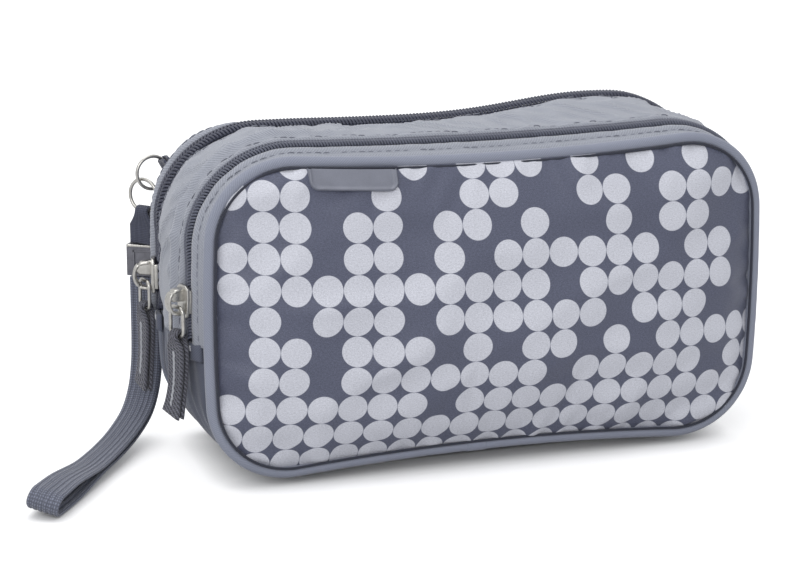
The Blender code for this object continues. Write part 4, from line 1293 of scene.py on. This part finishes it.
def wrist_strap():
    """The doubled wrist strap: one length of webbing that opens into an eye where it lies."""
    eye = Vector(JOINTS["strap_swing"]["pos_m"])
    lay_way = Vector((-0.55, -0.835, 0.0)).normalized()
    strap_way = UP.cross(lay_way)
    lay = [(0.0, 53.8), (0.0, 42.0), (0.2, 31.5), (1.2, 23.5), (4.4, 15.8), (11.5, 9.6),
           (24.0, 6.0), (38.0, 4.3), (53.0, 3.7), (67.0, 3.6), (80.0, 3.6), (88.0, 3.6)]
    points = [Vector((eye.x, eye.y, z * MM)) + lay_way * (along * MM) for along, z in lay]
    path = even(smooth_path(points, 10), 1.6 * MM)
    count = len(path)
    near, far, sides = [], [], []
    for i, (point, tangent) in enumerate(frames_along(path)):
        face = strap_way.cross(tangent).normalized()
        share = smooth((i / (count - 1) - 0.70) / 0.24)
        apart = 0.8 * MM + 2.3 * MM * share
        twist = math.radians(13.0) * max(0.0, (i / (count - 1) - 0.5) / 0.5) ** 1.5
        side = (strap_way * math.cos(twist) + face * math.sin(twist)).normalized()
        lifted = point + UP * (4.6 * MM * math.sin(twist))
        turned_face = side.cross(tangent).normalized()
        if turned_face.dot(face) < 0.0:
            turned_face = -turned_face
        near.append(lifted + turned_face * apart)
        far.append(lifted - turned_face * apart)
        sides.append(side)
    last_tangent, last_face = tangent, turned_face
    middle = 0.5 * (near[-1] + far[-1])
    fold = []
    for step in range(1, 12):
        angle = math.pi * step / 12
        way = last_face * math.cos(angle) + last_tangent * 1.5 * math.sin(angle)
        fold.append(middle + way * apart)
    whole = near + fold + list(reversed(far))
    across = sides + [sides[-1]] * len(fold) + list(reversed(sides))
    piece = ribbon("wrist_strap_webbing", whole, across, 10.6 * MM, 1.4 * MM, 6,
                   rib_height=0.42 * MM)
    finish_piece(piece, "webbing", "strap", replaces=("wrist_strap",))


def smooth_path(points, steps):
    """Catmull-Rom curve through points, with steps to each span."""
    ends = [2.0 * points[0] - points[1]] + points + [2.0 * points[-1] - points[-2]]
    path = []
    for k in range(1, len(ends) - 2):
        a, b, c, d = ends[k - 1:k + 3]
        for step in range(steps):
            t = step / steps
            path.append(0.5 * (2.0 * b + (c - a) * t + (2.0 * a - 5.0 * b + 4.0 * c - d) * t ** 2
                               + (3.0 * b - a - 3.0 * c + d) * t ** 3))
    path.append(points[-1])
    return path


def folded(eye, out_way, down, radius, apart, length, near_reach=0.6):
    """A strip's path over a bar: up the front, round the bar and down the back."""
    path = []
    for step in range(13):
        share = step / 12
        path.append(eye + down * length * (1.0 - share) + out_way * apart)
    close = []
    for point in path:
        reach = (point - eye).dot(down)
        spread = math.exp(-(max(0.0, reach) / (near_reach * 4.0 * MM)) ** 2)
        close.append(point + out_way * (radius - apart) * spread)
    arc = []
    for step in range(1, 12):
        angle = math.pi * step / 12
        arc.append(eye + out_way * radius * math.cos(angle) - down * radius * math.sin(angle))
    back = [eye + down * (point - eye).dot(down) - out_way * (point - eye).dot(out_way)
            for point in reversed(close)]
    return close + arc + back


def pull_tab(where):
    """A chunky folded webbing pull with a reflective thread; its foot is cut on the slant."""
    joint = JOINTS[where + "_pull_tab_swing"]
    eye, bar_way = Vector(joint["pos_m"]), -Vector(joint["axis"])
    out_way = bar_way.cross(DOWN)
    if out_way.x > 0.0:
        out_way = -out_way
    length = (25.2 if where == "front" else 26.6) * MM
    path = even(folded(eye, out_way, DOWN, 1.75 * MM, 0.95 * MM, length), 0.7 * MM)
    widths = []
    curl = 2.0 * MM if where == "front" else 1.2 * MM
    placed = []
    for point in path:
        reach = max(0.0, (point - eye).dot(DOWN))
        share = smooth(reach / (3.6 * MM))
        flare = 1.1 * smooth((reach - 17.0 * MM) / (8.0 * MM))
        widths.append((3.5 + 4.1 * share + flare - 0.9 * smooth((reach - 6.0 * MM) / (8.0 * MM)))
                      * MM)
        bend = curl * max(0.0, reach / length - 0.45) ** 2 / 0.3
        sway = 0.35 * MM * math.sin(reach / (5.0 * MM))
        slant = bar_way * sway + out_way * bend
        placed.append(point + slant)
    piece = ribbon(where + "_pull_webbing", placed, bar_way, widths, 1.5 * MM, 5,
                   rib_height=0.22 * MM)
    for vertex in piece.data.vertices:
        reach = (vertex.co - eye).dot(DOWN)
        if reach > length - 4.0 * MM:
            share = (reach - length + 4.0 * MM) / (4.0 * MM)
            vertex.co -= UP * 1.2 * MM * share * ((vertex.co - eye).dot(bar_way) / (3.8 * MM))
    finish_piece(piece, "pull_webbing", where + "_pull_tab",
                 replaces=(where + "_pull_tab",))
    loops = []
    steps = 15
    for k in range(steps):
        reach = (4.6 + 17.5 * k / steps) * MM
        bend = curl * max(0.0, reach / length - 0.45) ** 2 / 0.3
        sway = 0.35 * MM * math.sin(reach / (5.0 * MM))
        base = eye + DOWN * reach + out_way * (1.72 * MM + bend) + bar_way * sway
        zig = bar_way * 0.16 * MM * (1.0 if k % 2 else -1.0)
        line = [base + zig - out_way * 0.2 * MM, base + zig * 0.6 + DOWN * 0.3 * MM,
                base - zig * 0.6 + DOWN * 1.0 * MM, base - zig + DOWN * 1.35 * MM
                - out_way * 0.2 * MM]
        loops.append(round_tube("stitch", line, 0.42 * MM, 6, first=bar_way))
    thread = joined(where + "_pull_thread", loops)
    finish_piece(thread, "reflective", where + "_pull_tab")


# ---------------------------------------------------------------- rings, loop and clamp

def round_ring(node, name, body):
    """A split ring of round wire, at its CAD node's place."""
    mesh = frame["nodes"][node].data
    points = np.array([vertex.co for vertex in mesh.vertices])
    centre = Vector(points.mean(axis=0))
    spread = np.linalg.svd(points - points.mean(axis=0), full_matrices=False)[2]
    first, second = Vector(spread[0]), Vector(spread[1])
    normal = first.cross(second)
    reach = np.linalg.norm(points - points.mean(axis=0), axis=1)
    wire = float(0.25 * (reach.max() - reach.min()))
    radius = float(0.5 * (reach.max() + reach.min()))
    path = [centre + radius * (math.cos(angle) * first + math.sin(angle) * second)
            for angle in (2.0 * math.pi * k / 72 for k in range(72))]
    piece = round_tube(name, path, max(wire, 0.6 * MM), 14, True, normal)
    finish_piece(piece, "nickel", body, replaces=(node,))


def side_tab():
    """The short webbing tab sewn in the rear seam, folded round the side ring."""
    low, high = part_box("side_ring_tab")
    eye = Vector(JOINTS["side_ring_swing"]["pos_m"])
    along = Vector(JOINTS["side_ring_swing"]["axis"]).normalized()
    middle = 0.5 * (low + high)
    down = (middle - eye)
    down = (down - along * down.dot(along)).normalized()
    out_way = along.cross(down)
    path = even(folded(eye, out_way, down, 1.5 * MM, 0.75 * MM, 5.2 * MM, 0.5), 0.4 * MM)
    widths = [(4.2 + 2.2 * min(1.0, max(0.0, (point - eye).dot(down)) / (3.0 * MM))) * MM
              for point in path]
    piece = ribbon("side_tab_webbing", path, along, widths, 1.0 * MM, 5)
    finish_piece(piece, "dark_webbing", "rear_cover",
                 replaces=("side_ring_tab",))


def top_loop():
    """The webbing fold in the strap ring, above the clamp."""
    eye = Vector(JOINTS["strap_swing"]["pos_m"])
    clamp_low, clamp_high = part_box("strap_clamp")
    bar_way = Vector((math.cos(math.radians(-50.0)), math.sin(math.radians(-50.0)), 0.0))
    out_way = bar_way.cross(DOWN)
    length = eye.z - clamp_high.z - 0.2 * MM
    path = even(folded(eye, out_way, DOWN, 1.55 * MM, 0.8 * MM, length, 0.8), 0.5 * MM)
    widths = []
    for point in path:
        reach = max(0.0, (point - eye).dot(DOWN))
        widths.append((5.0 + 5.6 * min(1.0, reach / (4.5 * MM)) ** 1.3) * MM)
    piece = ribbon("strap_top_webbing", path, bar_way, widths, 1.3 * MM, 6,
                   rib_height=0.14 * MM)
    finish_piece(piece, "dark_webbing", "strap", replaces=("strap_top_loop",))


def clamp():
    """The crimped clamp: two rolled plates with an embossed frame, and the bar above it."""
    lay_way = Vector((-0.55, -0.835, 0.0)).normalized()
    strap_way = UP.cross(lay_way)
    low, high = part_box("strap_clamp")
    middle = 0.5 * (low + high)
    place = Matrix((lay_way, strap_way, UP)).transposed().to_4x4()
    place.translation = middle
    half_height = 0.5 * (high.z - low.z)
    parts = []
    outline = [(-5.9, -1.0), (-5.6, -1.0), (5.6, -1.0), (5.9, -1.0), (5.9, 1.0), (5.6, 1.0),
               (-5.6, 1.0), (-5.9, 1.0)]
    outline = [(y * MM, z * half_height) for y, z in outline]
    parts.append(applied(outline_plate("plate", outline, -2.05 * MM, 2.05 * MM, 0.55 * MM)))
    for sign in (-1.0, 1.0):
        for inner, proud, rise in ((3.6, 0.42, 3.6), (2.7, 0.2, 2.7)):
            square = [(-inner, -rise), (inner, -rise), (inner, rise), (-inner, rise)]
            square = [(y * MM, z * MM) for y, z in square]
            face = sign * 2.0 * MM
            grown = face + sign * proud * MM if inner > 3.0 else face + sign * 0.12 * MM
            if inner > 3.0:
                frame_bars(parts, square, face, grown)
    for z in (-0.82, 0.82):
        line = [(-5.2, z * 5.4 - 0.25), (5.2, z * 5.4 - 0.25), (5.2, z * 5.4 + 0.25),
                (-5.2, z * 5.4 + 0.25)]
        line = [(y * MM, at * MM) for y, at in line]
        parts.append(applied(outline_plate("rib", line, -2.3 * MM, 2.3 * MM, 0.12 * MM)))
    piece = joined("strap_clamp_plate", parts)
    piece.data.transform(place)
    bmesh_outward(piece)
    piece.data.shade_smooth()
    piece.data.set_sharp_from_angle(angle=math.radians(40.0))
    finish_piece(piece, "clamp_metal", "strap", replaces=("strap_clamp",))
    bar_low, bar_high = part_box("strap_bar")
    bar = 0.5 * (bar_low + bar_high) + lay_way * 2.0 * MM + DOWN * 1.3 * MM
    reach = 5.6 * MM
    path = [bar + strap_way * (reach * (k / 10 - 1.0)) for k in range(21)]

    def size(point):
        end = reach - abs((point - bar).dot(strap_way))
        return (0.42 + 0.2 * math.exp(-end / (0.5 * MM))) * MM
    pin = round_tube("strap_bar_pin", path, size, 14, first=UP)
    finish_piece(pin, "nickel", "strap", replaces=("strap_bar",))


def frame_bars(parts, square, face, grown):
    """The four raised bars of an embossed square frame."""
    wide = 0.75 * MM
    (left, low), (right, high) = square[0], square[2]
    for y0, z0, y1, z1 in ((left, low, right, low + wide), (left, high - wide, right, high),
                           (left, low, left + wide, high), (right - wide, low, right, high)):
        outline = [(y0, z0), (y1, z0), (y1, z1), (y0, z1)]
        ends = sorted((face, grown))
        parts.append(applied(outline_plate("bar", outline, ends[0], ends[1], 0.12 * MM)))


# ---------------------------------------------------------------- inside the pouch

def divider():
    """The wall between the compartments."""
    upper = line_at(0.0, -2.6 * MM, True, FOLD_Z, FINE)
    lower = line_at(0.0, -1.6 * MM, False, FOLD_Z, FINE)
    rows = []
    steps = 20
    count = min(len(upper), len(lower))
    for k in range(steps + 1):
        share = k / steps
        row = []
        for i in range(count):
            point = lower[i].lerp(upper[i], share)
            edge = min(share, 1.0 - share, i / count, 1.0 - i / count)
            slack = 0.25 * MM * wave((point.x, point.z, 0.0), 14.0 * MM, 8.0)
            row.append(point + Vector((0.0, slack * min(1.0, 10.0 * edge), 0.0)))
        rows.append(row)
    piece = lattice("divider_wall", rows)
    thicken(piece, 1.2 * MM, 0.0)
    finish_piece(piece, "lining", "pouch", replaces=("divider",))


LOOP_COUNT = 4
LOOP_WIDTH = 26.0 * MM
LOOP_DEPTH = 13.0 * MM
LOOP_LAND = 5.0 * MM


def elastic_loops():
    """The ribbed elastic band that stands off the divider in four loops."""
    low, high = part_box("elastic_loops")
    z = 0.5 * (low.z + high.z)
    x, path = low.x, []
    base = low.y + 0.55 * MM
    path.append(Vector((x, base, z)))
    for _ in range(LOOP_COUNT):
        x += LOOP_LAND
        for step in range(25):
            angle = math.pi * step / 24
            path.append(Vector((x + 0.5 * LOOP_WIDTH * (1.0 - math.cos(angle)),
                                base + (LOOP_DEPTH - 1.1 * MM) * math.sin(angle), z)))
        x += LOOP_WIDTH
    path.append(Vector((x + LOOP_LAND, base, z)))
    piece = ribbon("elastic_band", even(path, 0.9 * MM), UP, high.z - low.z, 1.0 * MM, 10,
                   rib_height=0.14 * MM)
    finish_piece(piece, "elastic", "pouch", replaces=("elastic_loops",))
    dashes = []
    for k in range(LOOP_COUNT + 1):
        at = low.x + 0.5 * LOOP_LAND + k * (LOOP_WIDTH + LOOP_LAND)
        for step in range(9):
            height = low.z + (1.2 + 2.2 * step) * MM
            line = [Vector((at, base + 0.35 * MM, height)),
                    Vector((at, base + 0.68 * MM, height + 0.4 * MM)),
                    Vector((at, base + 0.68 * MM, height + 1.2 * MM)),
                    Vector((at, base + 0.35 * MM, height + 1.6 * MM))]
            dashes.append(round_tube("dash", line, 0.18 * MM, 6,
                                     first=Vector((1.0, 0.0, 0.0))))
    finish_piece(joined("elastic_stitches", dashes), "thread", "pouch")


def mesh_pocket():
    """The knitted mesh pocket: a net of diamonds, and the binding along its mouth."""
    low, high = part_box("mesh_pocket")
    half, tall_z = 0.5 * (high.x - low.x), high.z - low.z
    columns, rows_count = 62, 28
    depth = high.y - low.y - 1.0 * MM
    points, faces = [], []

    def place(u, v):
        out = depth * (1.0 - u ** 4) * math.sin(0.5 * math.pi * v)
        return Vector((half * u, high.y - 0.4 * MM - out, low.z + tall_z * v))
    index = {}
    for j in range(2 * rows_count + 1):
        for i in range(2 * columns + 1):
            if (i + j) % 2 == 0:
                index[i, j] = len(points)
                points.append(place(i / columns - 1.0, j / (2 * rows_count)))
    for j in range(1, 2 * rows_count):
        for i in range(1, 2 * columns):
            if (i + j) % 2 == 1:
                faces.append((index[i, j - 1], index[i + 1, j], index[i, j + 1],
                              index[i - 1, j]))
    net = mesh_object("pocket_net", points, faces)
    wire = net.modifiers.new("net", "WIREFRAME")
    wire.thickness = 0.42 * MM
    wire.use_even_offset = False
    finish_piece(net, "mesh", "pouch", replaces=("mesh_pocket",))
    rim = [place(2.0 * k / 60 - 1.0, 1.0) for k in range(61)]
    rim = [point + Vector((0.0, -0.2 * MM, 0.4 * MM)) for point in rim]
    binding = ribbon("pocket_binding", even(rim, 1.0 * MM), UP, 5.0 * MM, 1.3 * MM, 4)
    finish_piece(binding, "dark_webbing", "pouch",
                 replaces=("mesh_pocket_binding",))


# ---------------------------------------------------------------- stage, light and camera

def stage():
    """A pale floor, and soft light from above."""
    size = 3.0
    floor = mesh_object("floor", [(-size, -size, 0.0), (size, -size, 0.0), (size, size, 0.0),
                                  (-size, size, 0.0)], [(0, 1, 2, 3)], smooth=False)
    floor.location.z = -0.0004
    made = Maker("paper", 0.9, specular=0.1)
    cloudy = made.cloud(made.solid(), 80.0)
    made.colour(made.ramp(cloudy, ((0.3, (0.67, 0.67, 0.673)), (0.7, (0.69, 0.69, 0.693)))))
    # The floor also glows, for camera rays only, so it looks whiter than its light makes it;
    # ambient occlusion dims the glow near the pouch, which paints its contact shadows.
    seen = made.add("ShaderNodeLightPath").outputs["Is Camera Ray"]
    near = made.add("ShaderNodeAmbientOcclusion", (("Distance", 11.0 * MM),)).outputs["AO"]
    glow_with_painted_shadow = made.math("MULTIPLY", near, 0.56)
    painted_glow = made.add("ShaderNodeEmission", (("Strength", made.math("MULTIPLY", seen, glow_with_painted_shadow)),))
    both = made.add("ShaderNodeAddShader", ((0, made.shader.outputs[0]), (1, painted_glow.outputs[0])))
    made.tree.links.new(both.outputs[0], made.tree.nodes["Material Output"].inputs["Surface"])
    floor.data.materials.append(made.material)
    world = bpy.context.scene.world or bpy.data.worlds.new("studio")
    bpy.context.scene.world = world
    world.use_nodes = True
    back = world.node_tree.nodes["Background"]
    back.inputs[0].default_value = (0.97, 0.98, 1.0, 1.0)
    back.inputs[1].default_value = 0.78
    lamps = (("key", (-0.5, -0.72, 0.5), 0.45, 2.35), ("top", (-0.2, 0.2, 1.1), 0.9, 4.8))
    for name, place, side, power in lamps:
        light = bpy.data.lights.new(name, "AREA")
        light.size = side
        light.energy = power
        lamp = bpy.data.objects.new(name, light)
        lamp.location = place
        aim = Vector((0.0, 0.0, 0.05)) - Vector(place)
        lamp.rotation_euler = aim.to_track_quat("-Z", "Y").to_euler()
        bpy.context.scene.collection.objects.link(lamp)
    bpy.context.scene.view_settings.view_transform = "Standard"


def camera():
    """The camera stands where the photograph was taken from."""
    eye = Vector((-260.4, -686.5, 237.35)) * MM
    azimuth, elevation, roll = math.radians(-19.11), math.radians(14.38), math.radians(0.22)
    back = Vector((math.sin(azimuth) * math.cos(elevation),
                   -math.cos(azimuth) * math.cos(elevation), math.sin(elevation)))
    right = UP.cross(back).normalized()
    up = back.cross(right)
    right, up = (right * math.cos(roll) + up * math.sin(roll),
                 up * math.cos(roll) - right * math.sin(roll))
    lens = bpy.data.cameras.new("camera")
    lens.lens = 103.2
    lens.sensor_width = 36.0
    lens.clip_start = 0.01
    made = bpy.data.objects.new("camera", lens)
    place = Matrix((right, up, back)).transposed().to_4x4()
    place.translation = eye
    made.matrix_world = place
    bpy.context.scene.collection.objects.link(made)
    bpy.context.scene.camera = made


# ---------------------------------------------------------------- the whole pouch

camera()
stage()
for which in ("front", "rear"):
    padded_panel(which)
    lining(which)
    piping(which)
    outer_strip(which)
    for half_side in ("cover", "pouch"):
        coil(which, half_side)
        tape(which, half_side)
    for end_side in ("left", "right"):
        zip_end(which, end_side)
    slider(which)
    rounded_link(which)
    pull_tab(which)
middle_strip()
base_shell()
badge()
divider()
elastic_loops()
mesh_pocket()
side_tab()
round_ring("side_ring", "side_ring_wire", "side_ring")
round_ring("strap_ring", "strap_ring_wire", "strap_ring")
top_loop()
clamp()
wrist_strap()
